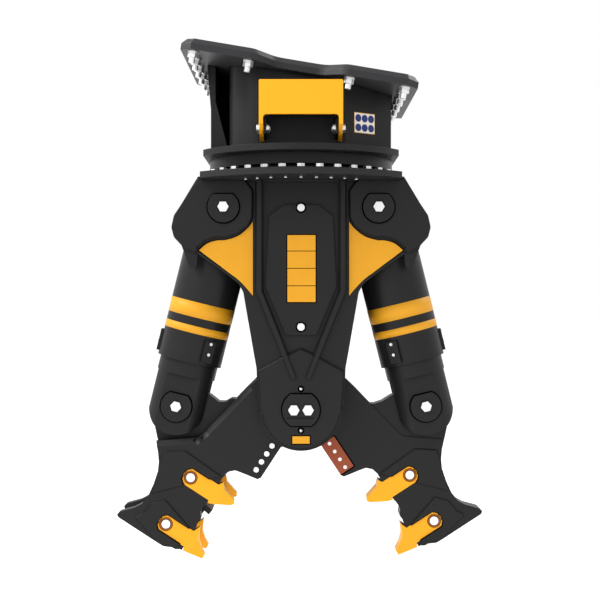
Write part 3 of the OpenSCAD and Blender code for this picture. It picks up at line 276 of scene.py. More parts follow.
def metal(name, code, roughness, grain, stretch=(1, 1, 1)):
    """Bare or plated metal: grain wide marks, drawn out along an axis where it was turned or ground."""
    material, tree, shader = new_tree(name)
    coords = add(tree, "ShaderNodeTexCoord").outputs["Object"]
    drawn = add(tree, "ShaderNodeMapping", {"Vector": coords}, Scale=stretch).outputs["Vector"]
    rounded = edge_mask(tree, METAL_EDGE)[0]
    base = linear(code)
    marks = add(tree, "ShaderNodeTexNoise", {"Vector": drawn}, Scale=1 / grain, Detail=3.0)
    tree.links.new(mixed(tree, marks.outputs["Fac"], shade(base, 0.8), base), shader.inputs["Base Color"])
    rough = add(tree, "ShaderNodeMapRange", {"Value": marks.outputs["Fac"]},
                {"To Min": roughness - 0.06, "To Max": roughness + 0.1})
    tree.links.new(rough.outputs["Result"], shader.inputs["Roughness"])
    tree.links.new(noise_bump(tree, drawn, grain, MARK_DEPTH, 0.4, rounded), shader.inputs["Normal"])
    shader.inputs["Metallic"].default_value = 1.0
    return material


def chromed_rod(name, chrome, paint):
    """Hard chrome on the rod's shaft, and enamel on its eye, within the eye's radius of the upper pin."""
    material, tree, shader = new_tree(name)
    coords = add(tree, "ShaderNodeTexCoord").outputs["Object"]
    split = add(tree, "ShaderNodeSeparateXYZ", {0: coords})
    side = add(tree, "ShaderNodeMath", {0: split.outputs["X"]}, operation="ABSOLUTE")
    flat = add(tree, "ShaderNodeCombineXYZ", {"X": side.outputs[0], "Z": split.outputs["Z"]})
    away = add(tree, "ShaderNodeVectorMath", {0: flat.outputs[0]}, {1: (UPPER_PIN[0], 0, UPPER_PIN[2])},
               operation="DISTANCE")
    eye_r = high("left_rod")[2] - UPPER_PIN[2] + 1 * MM
    near = add(tree, "ShaderNodeMath", {0: away.outputs["Value"]}, {1: eye_r}, operation="LESS_THAN")
    painted = near.outputs[0]
    ground = add(tree, "ShaderNodeTexNoise", {"Vector": coords}, Scale=1 / (25 * MM), Detail=3.0)
    steel = mixed(tree, ground.outputs["Fac"], shade(linear(chrome), 0.85), linear(chrome))
    tree.links.new(mixed(tree, painted, steel, linear(paint)), shader.inputs["Base Color"])
    bare = add(tree, "ShaderNodeMath", {1: painted}, {0: 1.0}, operation="SUBTRACT")
    tree.links.new(bare.outputs[0], shader.inputs["Metallic"])
    gloss = add(tree, "ShaderNodeMapRange", {"Value": painted}, {"To Min": 0.12, "To Max": 0.42})
    tree.links.new(gloss.outputs["Result"], shader.inputs["Roughness"])
    tree.links.new(noise_bump(tree, coords, PEEL_GRAIN, 0.1 * MM, 0.25), shader.inputs["Normal"])
    return material


def vinyl(name, code, roughness=0.5, gloss=0.22):
    """Calendered vinyl film: even colour, faint gloss waves where it lies on sprayed paint."""
    material, tree, shader = new_tree(name)
    coords = add(tree, "ShaderNodeTexCoord").outputs["Object"]
    base = linear(code)
    cloud = add(tree, "ShaderNodeTexNoise", {"Vector": coords}, Scale=1 / (90 * MM), Detail=2.0)
    tree.links.new(mixed(tree, cloud.outputs["Fac"], shade(base, 0.93), shade(base, 1.04)),
                   shader.inputs["Base Color"])
    tree.links.new(noise_bump(tree, coords, PEEL_GRAIN, 0.15 * MM, 0.25), shader.inputs["Normal"])
    shader.inputs["Roughness"].default_value = roughness
    shader.inputs["Specular IOR Level"].default_value = gloss
    return material


MATERIALS = {}


def make_materials():
    """Every finish of the tool, by the name of what it is."""
    p = paints()
    MATERIALS.update({
        # Satin black top coat: soft broad shine, painted shade darkening the seams, a little lighter where
        # edges rub.
        "black_enamel": sprayed_paint("black_enamel", p.black, 0.42),
        # The same coat on turned caps and the race: smoother and cleaner.
        "pin_cap_enamel": sprayed_paint("pin_cap_enamel", p.black, 0.38, 2 * MM, 0.1),
        # Dark grey, duller and dustier, because the plate lies flat against the excavator's arm.
        "plate_enamel": sprayed_paint("plate_enamel", p.plate, 0.45, 4 * MM, 0.3),
        # A shade lighter than the cheeks, so the flange reads as a plate of its own.
        "flange_enamel": sprayed_paint("flange_enamel", p.flange, 0.42),
        # Warm signal yellow with soft edges.
        "yellow_enamel": sprayed_paint("yellow_enamel", p.yellow, 0.4, 4 * MM, 0.1, 0.15),
        # Near white bolts that catch the light all round.
        "bright_zinc": metal("bright_zinc", p.zinc, 0.42, 3 * MM),
        # Fine rings from the lathe.
        "turned_steel": metal("turned_steel", "#b9bcbf", 0.3, 6 * MM, (1, 1, 8)),
        # Dark oily steel, with a grey sheen.
        "blackened_steel": metal("blackened_steel", "#55575a", 0.45, 8 * MM),
        # Nearly black and matt, as a phosphated gear is.
        "phosphated_steel": metal("phosphated_steel", "#2b2c2e", 0.55, 6 * MM),
        # Grinding marks along the edge.
        "ground_blade": metal("ground_blade", "#8b8d90", 0.35, 5 * MM, (6, 1, 1)),
        # Mirror bright, with hardly any marks.
        "polished_ball": metal("polished_ball", "#e6e8ea", 0.12, 20 * MM),
        # Mirror bright shaft with a painted eye.
        "hard_chrome": chromed_rod("hard_chrome", "#dfe2e6", p.black),
        # Golden brown, softly cloudy.
        "cast_bronze": metal("cast_bronze", "#b8894a", 0.35, 5 * MM),
        # Matt reddish brown coat that shows its rubbed edges most.
        "red_primer": sprayed_paint("red_primer", p.primer, 0.6, 1.5 * MM, 0.2, 0.2),
        # Painted shade: an orange brown ring, the yellow of the tooth's counterbore as it looks in shade,
        # which sets the white bolt off from the yellow tooth.
        "ring_paint": sprayed_paint("ring_paint", p.ring, 0.5, 1 * MM, 0.1, 0.1),
        # Even yellow film, flatter than the paint.
        "yellow_vinyl": vinyl("yellow_vinyl", p.vinyl),
        # Cream film.
        "pale_vinyl": vinyl("pale_vinyl", "#f6efe0"),
        # Plain blue discs.
        "blue_vinyl": vinyl("blue_vinyl", p.blue),
        # Black film without shine: the printed border round the corner decals, the black back of the panel
        # plates, and painted shade inside the studs' key sockets.
        "black_vinyl": vinyl("black_vinyl", "#050505", 0.6, 0.03),
        # Dull rubber lip.
        "seal_rubber": vinyl("seal_rubber", "#161617", 0.7),
        # Painted shade: a black film laid like sealing compound in the seams, which draws a black line of
        # shade round caps and teeth.
        "black_mastic": vinyl("black_mastic", "#020202", 0.9, 0.0),
    })


NODE_FINISH = {
    "plate_enamel": ["mounting_plate"],
    "flange_enamel": ["frame_top_plate"],
    "yellow_enamel": ["hose_guard", "left_teeth", "right_teeth"],
    "bright_zinc": ["mounting_bolts", "mounting_nuts", "guard_bolts", "slew_bolts",
                    "cover_bolts", "pin_bolts", "left_lower_pin_bolts", "right_lower_pin_bolts",
                    "left_tooth_bolts", "right_tooth_bolts", "left_blade_bolts", "right_blade_bolts"],
    "pin_cap_enamel": ["pin_caps", "main_pin", "upper_pins", "left_lower_pin", "right_lower_pin",
                       "slew_outer_race"],
    "turned_steel": ["slew_pinion", "swivel_rotor", "swivel_stator", "left_gland", "right_gland"],
    "phosphated_steel": ["slew_ring_gear"],
    "blackened_steel": ["hose_manifold"],
    "hard_chrome": ["left_rod", "right_rod"],
    "cast_bronze": ["thrust_washers", "left_jaw_bushes", "right_jaw_bush"],
    "polished_ball": ["slew_balls"],
    "ground_blade": ["left_blade"],
    "red_primer": ["right_blade"],
}


# Meshes worked out as whole arrays

MERGE_STEP = 0.02 * MM   # corners of a solid this near to each other are one point
SAME_FACE = 0.1 * MM     # triangles this near to a plane lie in it
BEAD_STEP = 3.5 * MM     # from one section of a weld to the next
RIPPLE_SHARE = 0.1       # how much a weld's leg swells in each ripple
BESIDE_SHARE = 1.1       # a weld needs this many legs of free base beside the foot


def joined(parts):
    """Several (vertices, faces) as one, with the faces' numbers moved on."""
    verts, faces, start = [], [], 0
    for v, f in parts:
        verts.append(v)
        faces += [[i + start for i in face] for face in f]
        start += len(v)
    return np.vstack(verts), faces


def piece(name, parts, body, material, smooth=False):
    """One mesh object of closed parts at the origin, riding on a body, with its place in its vertices."""
    verts, faces = joined(parts)
    mesh = bpy.data.meshes.new(name)
    mesh.from_pydata(verts.tolist(), [], faces)
    mesh.polygons.foreach_set("use_smooth", [smooth] * len(mesh.polygons))
    mesh.materials.append(MATERIALS[material])
    bm = bmesh.new()
    bm.from_mesh(mesh)
    bmesh.ops.recalc_face_normals(bm, faces=bm.faces)
    bm.to_mesh(mesh)
    bm.free()
    obj = bpy.data.objects.new(name, mesh)
    bpy.context.scene.collection.objects.link(obj)
    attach(obj, body)


def grid_faces(rows, columns, wrap_rows, wrap_columns):
    """Quads of a grid whose point (i, j) has number i * columns + j, closed round either way if asked."""
    i = np.arange(rows if wrap_rows else rows - 1)[:, None]
    j = np.arange(columns if wrap_columns else columns - 1)[None, :]
    i1, j1 = (i + 1) % rows, (j + 1) % columns
    quads = np.stack(np.broadcast_arrays(i * columns + j, i1 * columns + j, i1 * columns + j1,
                                         i * columns + j1), axis=-1)
    return quads.reshape(-1, 4).tolist()


def tube(rings, closed):
    """Skin over rings of points, an array (rings, points, 3); open tubes get an end cap at each end."""
    m, k = rings.shape[:2]
    faces = grid_faces(m, k, closed, True)
    if not closed:
        faces += [list(range(k)), list(range((m - 1) * k, m * k))[::-1]]
    return rings.reshape(-1, 3), faces


def across(axis):
    """The axis as a unit direction, and two unit directions square to it and to each other."""
    axis = np.array(axis, float) / np.linalg.norm(axis)
    u = np.cross(axis, [0.0, 0.0, 1.0] if abs(axis[2]) < 0.9 else [1.0, 0.0, 0.0])
    u /= np.linalg.norm(u)
    return axis, u, np.cross(axis, u)


def revolve(profile, centre, axis, count):
    """Turns a profile of (radius, height) round an axis.

    The point at angle t is centre + height * axis + radius * (cos t * u + sin t * v).
    """
    axis, u, v = across(axis)
    t = np.linspace(0, 2 * np.pi, count, endpoint=False)[:, None, None]
    r, h = np.array(profile, float).T[:, None, :, None]
    points = np.array(centre) + h * axis + r * (np.cos(t) * u + np.sin(t) * v)
    return points.reshape(-1, 3), grid_faces(count, len(profile), True, True)


def band(inner, outer, start, end):
    """Profile of a flat ring from radius inner to outer and from height start to end."""
    return [(inner, start), (outer, start), (outer, end), (inner, end)]


def hex_head(width, height, centre, axis, turn=0.0):
    """A hexagon head with its corners turned off: six sides between a full foot and a rounded top.

    Its radius at angle t is half the width across flats over the cosine of the angle from a flat's middle.
    """
    axis, u, v = across(axis)
    t = np.linspace(0, 2 * np.pi, 24, endpoint=False) + turn
    flat = width / 2 / np.cos((t + np.pi / 6) % (np.pi / 3) - np.pi / 6)
    around = np.cos(t)[:, None] * u + np.sin(t)[:, None] * v
    levels = ((0, flat), (height * 0.85, flat), (height, np.minimum(flat, width * 0.49)))
    rings = [np.array(centre) + h * axis + r[:, None] * around for h, r in levels]
    return tube(np.array(rings), False)


def outline_loops(node, axis, value):
    """Outlines of a solid's flat face at axis = value.

    They are the edges that only one of the face's triangles has, chained end to end.
    """
    mesh = frame["nodes"][node].data
    mesh.calc_loop_triangles()
    co = np.empty(len(mesh.vertices) * 3)
    mesh.vertices.foreach_get("co", co)
    tri = np.empty(len(mesh.loop_triangles) * 3, int)
    mesh.loop_triangles.foreach_get("vertices", tri)
    cells, number = np.unique(np.round(co.reshape(-1, 3) / MERGE_STEP).astype(int), axis=0,
                              return_inverse=True)
    points = cells * MERGE_STEP
    tri = number.reshape(-1)[tri.reshape(-1, 3)]
    flat = tri[np.all(np.abs(points[tri][:, :, axis] - value) < SAME_FACE, axis=1)]
    edges = np.vstack([flat[:, [0, 1]], flat[:, [1, 2]], flat[:, [2, 0]]])
    there = {tuple(e) for e in edges.tolist()}
    follow = {a: b for a, b in there if (b, a) not in there}
    loops = []
    while follow:
        start, here = follow.popitem()
        chain = [start]
        while here != start and here in follow:
            chain.append(here)
            here = follow.pop(here)
        loops.append(points[chain])
    return loops


def walked(loop, step):
    """Points every step along a closed loop, with the distance walked and the unit direction at each."""
    closed = np.vstack([loop, loop[:1]])
    legs = np.linalg.norm(np.diff(closed, axis=0), axis=1)
    reach = np.concatenate([[0], np.cumsum(legs)])
    s = np.linspace(0, reach[-1], max(8, int(reach[-1] / step)), endpoint=False)
    at = np.stack([np.interp(s, reach, closed[:, c]) for c in range(3)], axis=1)
    ahead = np.roll(at, -1, axis=0) - np.roll(at, 1, axis=0)
    return at, s, ahead / np.maximum(np.linalg.norm(ahead, axis=1, keepdims=True), 1e-9)


def inside(points, loops, axis):
    """Which points lie inside the loops: those whose sideways ray crosses an odd number of edges."""
    a, b = [c for c in range(3) if c != axis]
    p = points[:, None, :]
    odd = np.zeros(len(points), bool)
    for loop in loops:
        q, r = loop[None, :, :], np.roll(loop, -1, axis=0)[None, :, :]
        spans = (q[..., b] > p[..., b]) != (r[..., b] > p[..., b])
        rise = np.where(np.abs(r[..., b] - q[..., b]) < 1e-12, 1e-12, r[..., b] - q[..., b])
        crossing = q[..., a] + (p[..., b] - q[..., b]) / rise * (r[..., a] - q[..., a])
        odd ^= (np.sum(spans & (p[..., a] < crossing), axis=1) % 2).astype(bool)
    return odd


def beads(foot_node, base_node, axis, value, lift, leg, rise=1.0):
    """Fillet welds where a solid's flat foot stands on a larger flat face at axis = value.

    Along the foot's outline the bead's section is a bulged triangle, from leg out on the base to leg up the
    wall, with legs that swell in ripples. lift is the direction in which the wall rises from the base, and
    rise the height of the bead over its width.
    """
    base = outline_loops(base_node, axis, value)
    foot = outline_loops(foot_node, axis, value)
    up = np.zeros(3)
    up[axis] = lift
    parts = []
    for loop in foot:
        at, s, ahead = walked(loop, BEAD_STEP)
        out = np.cross(ahead, up)
        if np.sum(inside(at + out * leg / 4, foot, axis)) > len(at) / 2:
            out = -out
        beside = at + out * leg * BESIDE_SHARE
        free = inside(beside, base, axis) & ~inside(beside, foot, axis)
        swell = leg * (1 + RIPPLE_SHARE * np.sin(2 * np.pi * s / decals().ripple))
        t = np.linspace(0, np.pi / 2, 4)
        reach = np.stack([np.cos(t), np.sin(t)]) * (0.72 + 0.28 * np.abs(np.cos(2 * t)))
        rings = (at[:, None, :] + out[:, None, :] * swell[:, None, None] * reach[0][None, :, None]
                 + up * rise * swell[:, None, None] * reach[1][None, :, None])
        rings = np.concatenate([rings, (at - out * leg * 0.1)[:, None, :]], axis=1)
        if free.all():
            parts.append(tube(rings, True))
            continue
        if not free.any():
            continue
        # The loop is cut open where the base ends, and each free run becomes a weld of its own.
        order = np.roll(np.arange(len(free)), -int(np.argmin(free)))
        cuts = np.flatnonzero(np.diff(free[order].astype(int))) + 1
        for run in np.split(order, cuts):
            if free[run[0]] and len(run) > 4:
                parts.append(tube(rings[run], False))
    return parts


def plate_on_face(left, right, rows, thickness, face):
    """A thin film on the plane y = face, between two curves of (x, z) whose v runs from 0 to 1."""
    v = np.linspace(0, 1, rows)
    front = np.stack([np.stack([c(v)[0], np.full(rows, face - thickness), c(v)[1]], axis=1)
                      for c in (left, right)], axis=1)
    back = front.copy()
    back[..., 1] = face
    rings = np.stack([front[:, 0], front[:, 1], back[:, 1], back[:, 0]], axis=1)
    return tube(rings, False)


def rectangle(x0, x1, z0, z1, thickness, face):
    """A thin upright film with straight sides on the plane y = face."""
    return plate_on_face(lambda v: (np.full_like(v, x0), z0 + v * (z1 - z0)),
                         lambda v: (np.full_like(v, x1), z0 + v * (z1 - z0)), 2, thickness, face)


def curve(points):
    """A smooth curve through (x, z) points: cubics whose tangents are half the chord of the neighbours."""
    p = np.array(points, float)
    tangents = np.gradient(p, axis=0)
    n = len(p) - 1

    def at(v):
        s = np.clip(v * n, 0, n - 1e-9)
        i = s.astype(int)
        f = (s - i)[:, None]
        a, b, ta, tb = p[i], p[i + 1], tangents[i], tangents[i + 1]
        h = (a * (2 * f**3 - 3 * f**2 + 1) + ta * (f**3 - 2 * f**2 + f) + b * (3 * f**2 - 2 * f**3)
             + tb * (f**3 - f**2))
        return h[:, 0], h[:, 1]
    return at


def mirrored(part):
    """The same mesh on the other side, with its faces turned back outwards."""
    verts, faces = part
    return verts * [-1, 1, 1], [face[::-1] for face in faces]


# Places and sizes in millimetres, from the slewing axis and the mounting face

WEAR_BEAD_SHARE = 0.6        # the wear plates' welds, as a share of the others' leg

# Edges of the left corner decal, from its outer tip inwards, and the black border that shows round it
CORNER_UPPER = [(-432, -776), (-398, -748), (-357, -735), (-321, -733), (-270, -717), (-229, -686),
                (-204, -656)]
CORNER_LOWER = [(-432, -776), (-390, -808), (-348, -839), (-306, -871), (-265, -902), (-231, -937),
                (-204, -969)]
CORNER_ROWS = 40
BORDER_RIM = 3.5
BORDER_ENDS = (-5, 2.5)

# The plate of four bare panels, and the small plate's half width, top and bottom
PANEL_X = (-59, 63)
PANEL_Z = (-711, -780, -853, -927, -997)
SMALL_PLATE = (38, -1561, -1595)
PANEL_GAP = 1.6
PANEL_RIM = 3

# The two ends of the disc plate seen from above, its top and bottom, and its discs as shares of it
DISC_PLATE_ENDS = ((222.3, -263.0), (311.5, -198.3))
DISC_PLATE_Z = (-201.5, -287.2)
DISC_PLATE_RIM = 2
DISC_COLUMN_SHARES = (0.19, 0.5, 0.81)
DISC_ROW_SHARES = (0.27, 0.73)
DISC_SHARE = 0.43            # a disc's radius, as a share of the room that it has

# Along each cylinder from its upper pin: stripes on the sleeve and screws in its guide pads
SLEEVE_R = 141
STRIPES = ((419, 484), (520, 552))
PAD_R = 150.5
PAD_ANGLES = (33, 270, 153)
PAD_SCREWS_AT = (581, 627)
PAD_SCREW = (13, 6)

# Grease nipples in the pivot doubler, as (radius, height)
NIPPLE_Z = (-1363, -1538)
NIPPLE = [(0, 0), (7, 0), (7, 2), (4, 3), (3.2, 7), (4.4, 9), (4.4, 11), (2, 13), (0, 13)]

# Black films of painted shade, laid like sealing compound: fillet legs, flat rings, and a sheet in the
# keeper's slot in the main pin's cap
SHADE_LINE_LEG = 5.5
TOOTH_SHADE_SHARE = 0.8
BLADE_SHADE_RISE = 0.15
SHADE_LINE_T = 0.8
SHADE_RING_WIDTH = 7
BOLT_FOOT_SHARE = 0.9        # a ring starts under the bolt's head, at this share of its radius
KEEPER_SLOT_SHADE = (-60, 54, -1486, -1483.5)
KEEPER_SHADE_T = 0.4

# Rubber lip under the slewing race, as (radius, height)
SEAL = [(366, 0), (375, -2), (381, -9), (377, -12), (366, -12)]

# Mounting studs: where they stand on the plate, their thread's inside, root and crest, and the key's socket,
# drawn as a thin black hexagon of painted shade
STUD_X, INNER_STUD_X, STUD_Y = 436, 208, 391
STUD_ROW = 6
THREAD_R = (11.5, 12.05, 12.7)
THREAD_FROM, THREAD_STEP, THREAD_STEPS = -94.5, 1.5, 14
SOCKET = (19, 0.5)
SOCKET_DEPTH = 1.1

# Nuts on the hose guard's brackets, as x and the way each faces, and their washers as (radius, height)
GUARD_BOLTS = ((169, 1), (141, -1))
GUARD_BOLT_Y = (-335, -385)
GUARD_BOLT_Z = -286
GUARD_NUT = (28, 12)
GUARD_NUT_TURN = 0.3
GUARD_WASHER = [(0, 0), (18, 0), (18, 2.5), (17, 3), (0, 3)]

# Screws that hold the gear ring under the top plate: those that the cheeks leave in sight
GEAR_SCREW_R = 344
GEAR_SCREWS = 34
GEAR_SCREWS_SEEN = np.arange(-4, 5)
GEAR_SCREW = (12, 5)

# Tooth bolts from the main pin, and the washers sunk round them as (radius, height), brown as painted shade
# in the counterbores
TOOTH_AT = ((473.8, -298.8), (579.8, -498.1))
TOOTH_WASHER = [(19.3, 0), (29.6, 0), (29.6, 5), (28.6, 6), (20, 6)]
TOOTH_WASHER_SUNK = 8


class MP_OT_finishes(bpy.types.Operator):
    """Gives every solid its finish"""
    bl_idname = "mp.finishes"
    bl_label = "Paint the solids"

    def execute(self, context):
        make_materials()
        finish = {n: m for m, nodes in NODE_FINISH.items() for n in nodes}
        for name, obj in frame["nodes"].items():
            if not obj.material_slots:
                raise RuntimeError("no material slot on " + name)
            for s in obj.material_slots:
                s.material = MATERIALS[finish.get(name, "black_enamel")]
        return {"FINISHED"}


class MP_OT_weld_beads(bpy.types.Operator):
    """Lays fillet welds along the feet of the doublers, ribs, cheeks, column and wear plates"""
    bl_idname = "mp.weld_beads"
    bl_label = "Weld beads"

    def execute(self, context):
        leg = decals().bead
        parts = []
        for node in ("cheek_doublers", "frame_ribs"):
            parts += beads(node, "front_cheek", 1, CHEEK_FACE, -1, leg)
            parts += beads(node, "rear_cheek", 1, high("rear_cheek")[1], 1, leg)
        for node in ("front_cheek", "rear_cheek"):
            parts += beads(node, "frame_top_plate", 2, low("frame_top_plate")[2], -1, leg)
        piece("frame_weld_beads", parts, "frame", "black_enamel", True)
        parts = beads("saddle_column", "saddle_base_plate", 2, high("saddle_base_plate")[2], 1, leg)
        piece("saddle_weld_beads", parts, "saddle", "black_enamel", True)
        for side, jaw in JAW_NODE.items():
            parts = []
            for face, out in both_faces(jaw):
                parts += beads(side + "_wear_plates", jaw, 1, face, out, leg * WEAR_BEAD_SHARE)
            piece(side + "_jaw_weld_beads", parts, side + "_jaw", "black_enamel", True)
        return {"FINISHED"}


class MP_OT_corner_decals(bpy.types.Operator):
    """Sticks the two bare yellow corner decals under the wings, each on a black border"""
    bl_idname = "mp.corner_decals"
    bl_label = "Corner decals"

    def execute(self, context):
        film = decals().film
        lower, upper = np.array(CORNER_LOWER, float), np.array(CORNER_UPPER, float)
        rim = np.stack([np.linspace(*BORDER_ENDS, len(lower)), np.full(len(lower), BORDER_RIM)], axis=1)
        decal = plate_on_face(curve(lower * MM), curve(upper * MM), CORNER_ROWS, film, CHEEK_FACE)
        border = plate_on_face(curve((lower + rim * [1, -1]) * MM), curve((upper + rim) * MM), CORNER_ROWS,
                               film / 2, CHEEK_FACE)
        piece("corner_decals", [decal, mirrored(decal)], "frame", "yellow_vinyl")
        piece("corner_decal_borders", [border, mirrored(border)], "frame", "black_vinyl")
        return {"FINISHED"}


class MP_OT_panel_plate(bpy.types.Operator):
    """Sticks the plate of four bare panels on the cover, and the small bare plate under the main pin"""
    bl_idname = "mp.panel_plate"
    bl_label = "Panel plate"

    def execute(self, context):
        film = decals().film
        gap, rim = PANEL_GAP * MM, PANEL_RIM * MM
        x0, x1 = np.array(PANEL_X) * MM
        z = np.array(PANEL_Z) * MM
        w, z_top, z_low = np.array(SMALL_PLATE) * MM
        films = [rectangle(x0 + gap, x1 - gap, b + gap, a - gap, 2 * film, COVER_FACE)
                 for a, b in zip(z, z[1:])]
        films.append(rectangle(gap - w, w - gap, z_low + gap, z_top - gap, 2 * film, DOUBLER_FACE))
        backs = [rectangle(x0 - rim, x1 + rim, z[-1] - rim, z[0] + rim, film, COVER_FACE),
                 rectangle(-w - rim, w + rim, z_low - rim, z_top + rim, film, DOUBLER_FACE)]
        piece("panel_films", films, "frame", "yellow_vinyl")
        piece("panel_backs", backs, "frame", "black_vinyl")
        return {"FINISHED"}


class MP_OT_disc_plate(bpy.types.Operator):
    """Sticks the pale plate with six plain blue discs on the column's right facet"""
    bl_idname = "mp.disc_plate"
    bl_label = "Disc plate"

    def execute(self, context):
        film, rim = decals().film, DISC_PLATE_RIM * MM
        z_top, z_low = np.array(DISC_PLATE_Z) * MM
        corner, end = [np.array([x * MM, y * MM, z_low]) for x, y in DISC_PLATE_ENDS]
        wide, tall = np.linalg.norm(end - corner), z_top - z_low
        along = (end - corner) / wide
        out = np.array([along[1], -along[0], 0])
        up = np.array([0, 0, 1])

        def slab(inset, height):
            """A block on the facet: a rectangle inset from the plate's edges, and height thick."""
            square = [corner + along * u + up * v
                      for u, v in ((inset, inset), (wide - inset, inset), (wide - inset, tall - inset),
                                   (inset, tall - inset))]
            return tube(np.array([square, square + out * height]), False)

        radius = min(wide / len(DISC_COLUMN_SHARES), tall / len(DISC_ROW_SHARES)) * DISC_SHARE
        discs = [revolve(band(0, radius, 0, 3 * film), corner + along * wide * i + up * tall * j, out, 40)
                 for i in DISC_COLUMN_SHARES for j in DISC_ROW_SHARES]
        piece("disc_plate_border", [slab(0, film)], "saddle", "yellow_vinyl")
        piece("disc_plate_ground", [slab(rim, 2 * film)], "saddle", "pale_vinyl")
        piece("disc_plate_discs", discs, "saddle", "blue_vinyl")
        return {"FINISHED"}


class MP_OT_stripes(bpy.types.Operator):
    """Wraps two yellow bands round each cylinder's sleeve"""
    bl_idname = "mp.stripes"
    bl_label = "Cylinder stripes"

    def execute(self, context):
        inner = SLEEVE_R * MM
        for side, sign in SIDES:
            flip = [sign, 1, 1]
            bands = [revolve(band(inner, inner + decals().film, start * MM, end * MM), UPPER_PIN * flip,
                             DOWN_AXIS * flip, 96) for start, end in STRIPES]
            piece(side + "_sleeve_stripes", bands, side + "_rod_body", "yellow_vinyl", True)
        return {"FINISHED"}


class MP_OT_grease_nipples(bpy.types.Operator):
    """Screws the grease nipples into the pivot doubler"""
    bl_idname = "mp.grease_nipples"
    bl_label = "Grease nipples"

    def execute(self, context):
        parts = [revolve(np.array(NIPPLE) * MM, [0, DOUBLER_FACE, z * MM], [0, -1, 0], 24) for z in NIPPLE_Z]
        piece("grease_nipples", parts, "frame", "bright_zinc", True)
        return {"FINISHED"}


class MP_OT_seam_shade_lines(bpy.types.Operator):
    """Paints shade as black films laid like sealing compound round the nipples, cover bolts, pin caps, teeth
    and right blade, and as a sheet in the keeper's slot
    """
    bl_idname = "mp.mastic_seams"
    bl_label = "Mastic seams"

    def execute(self, context):
        leg, thick, wide = SHADE_LINE_LEG * MM, SHADE_LINE_T * MM, SHADE_RING_WIDTH * MM
        foot = NIPPLE[1][0] * MM
        seams = [revolve(band(foot, foot + wide, 0, thick), [0, DOUBLER_FACE, z * MM], [0, -1, 0], 32)
                 for z in NIPPLE_Z]
        bolt = high("cover_bolts")[0]
        seams += [revolve(band(bolt * BOLT_FOOT_SHARE, bolt + wide, 0, thick), [0, COVER_FACE, z], [0, -1, 0],
                          40) for z in (low("cover_bolts")[2] + bolt, high("cover_bolts")[2] - bolt)]
        # Painted shade: a thin black sheet on the cap where the keeper's slot is.
        seams.append(rectangle(*np.array(KEEPER_SLOT_SHADE) * MM, KEEPER_SHADE_T * MM, low("pin_caps")[1]))
        for face, out in both_faces("cheek_doublers"):
            seams += beads("pin_caps", "cheek_doublers", 1, face, out, leg)
        piece("cap_seams", seams, "frame", "black_mastic", True)
        cap = high("pin_caps")[1] - high("cheek_doublers")[1]
        for side, jaw in JAW_NODE.items():
            seams = []
            for tip, out in both_faces(side + "_lower_pin"):
                seams += beads(side + "_lower_pin", side + "_barrel", 1, tip - out * cap, out, leg)
            piece(side + "_lower_cap_seams", seams, side + "_barrel_body", "black_mastic",
                  True)
            seams = []
            for face, out in both_faces(jaw):
                seams += beads(side + "_wear_plates", side + "_teeth", 1, face, out, leg * TOOTH_SHADE_SHARE)
            if side == "right":
                seams += beads("right_blade", jaw, 1, low("right_blade")[1], -1, leg, BLADE_SHADE_RISE)
            piece(side + "_jaw_seams", seams, side + "_jaw", "black_mastic", True)
        return {"FINISHED"}


class MP_OT_ring_seal(bpy.types.Operator):
    """Lays the rubber lip round the foot of the slewing race"""
    bl_idname = "mp.ring_seal"
    bl_label = "Ring seal"

    def execute(self, context):
        seal = revolve(np.array(SEAL) * MM, [0, 0, low("slew_outer_race")[2]], [0, 0, 1], 160)
        piece("ring_seal", [seal], "saddle", "seal_rubber", True)
        return {"FINISHED"}


class MP_OT_pad_screws(bpy.types.Operator):
    """Sets the screws of the guide pads round each cylinder's sleeve"""
    bl_idname = "mp.pad_screws"
    bl_label = "Guide pad screws"

    def execute(self, context):
        width, height = np.array(PAD_SCREW) * MM
        for side, sign in SIDES:
            top, down = UPPER_PIN * [sign, 1, 1], DOWN_AXIS * [sign, 1, 1]
            sideways = np.array([-down[2] * sign, 0, abs(down[0])])
            parts = []
            for angle in np.radians(-90 - np.array(PAD_ANGLES)):
                out = np.cos(angle) * sideways + np.sin(angle) * np.array([0, 1, 0])
                parts += [hex_head(width, height, top + (down * s + out * PAD_R) * MM, out)
                          for s in PAD_SCREWS_AT]
            piece(side + "_pad_screws", parts, side + "_rod_body", "bright_zinc")
        return {"FINISHED"}


class MP_OT_stud_ends(bpy.types.Operator):
    """Cuts threads round the mounting studs' lower ends, and paints a key's socket in each upper end as a
    thin black hexagon of painted shade
    """
    bl_idname = "mp.stud_ends"
    bl_label = "Stud ends"

    def execute(self, context):
        slope = np.array(MOUNT["axis"])
        along = np.array([slope[2], 0, -slope[0]])
        places = [(x, y) for x in (-STUD_X, STUD_X) for y in np.linspace(-STUD_Y, STUD_Y, STUD_ROW)]
        places += [(x, y) for x in (-INNER_STUD_X, INNER_STUD_X) for y in (-STUD_Y, STUD_Y)]
        feet = [(along * x + np.array([0, y, 0])) * MM for x, y in places]
        inner, root, crest = THREAD_R
        heights = THREAD_FROM + THREAD_STEP * np.arange(THREAD_STEPS)
        turns = [(crest if i % 2 else root, h) for i, h in enumerate(heights)]
        thread = np.array([(inner, heights[0])] + turns + [(inner, heights[-1])]) * MM
        width, height = np.array(SOCKET) * MM
        # Painted shade: a thin black hexagon stands for the shade inside each key's socket.
        socket_shades = [hex_head(width, height, foot - slope * SOCKET_DEPTH * MM, slope) for foot in feet]
        piece("stud_threads", [revolve(thread, foot, slope, 28) for foot in feet], "saddle", "bright_zinc",
              True)
        piece("stud_sockets", socket_shades, "saddle", "black_vinyl")
        return {"FINISHED"}


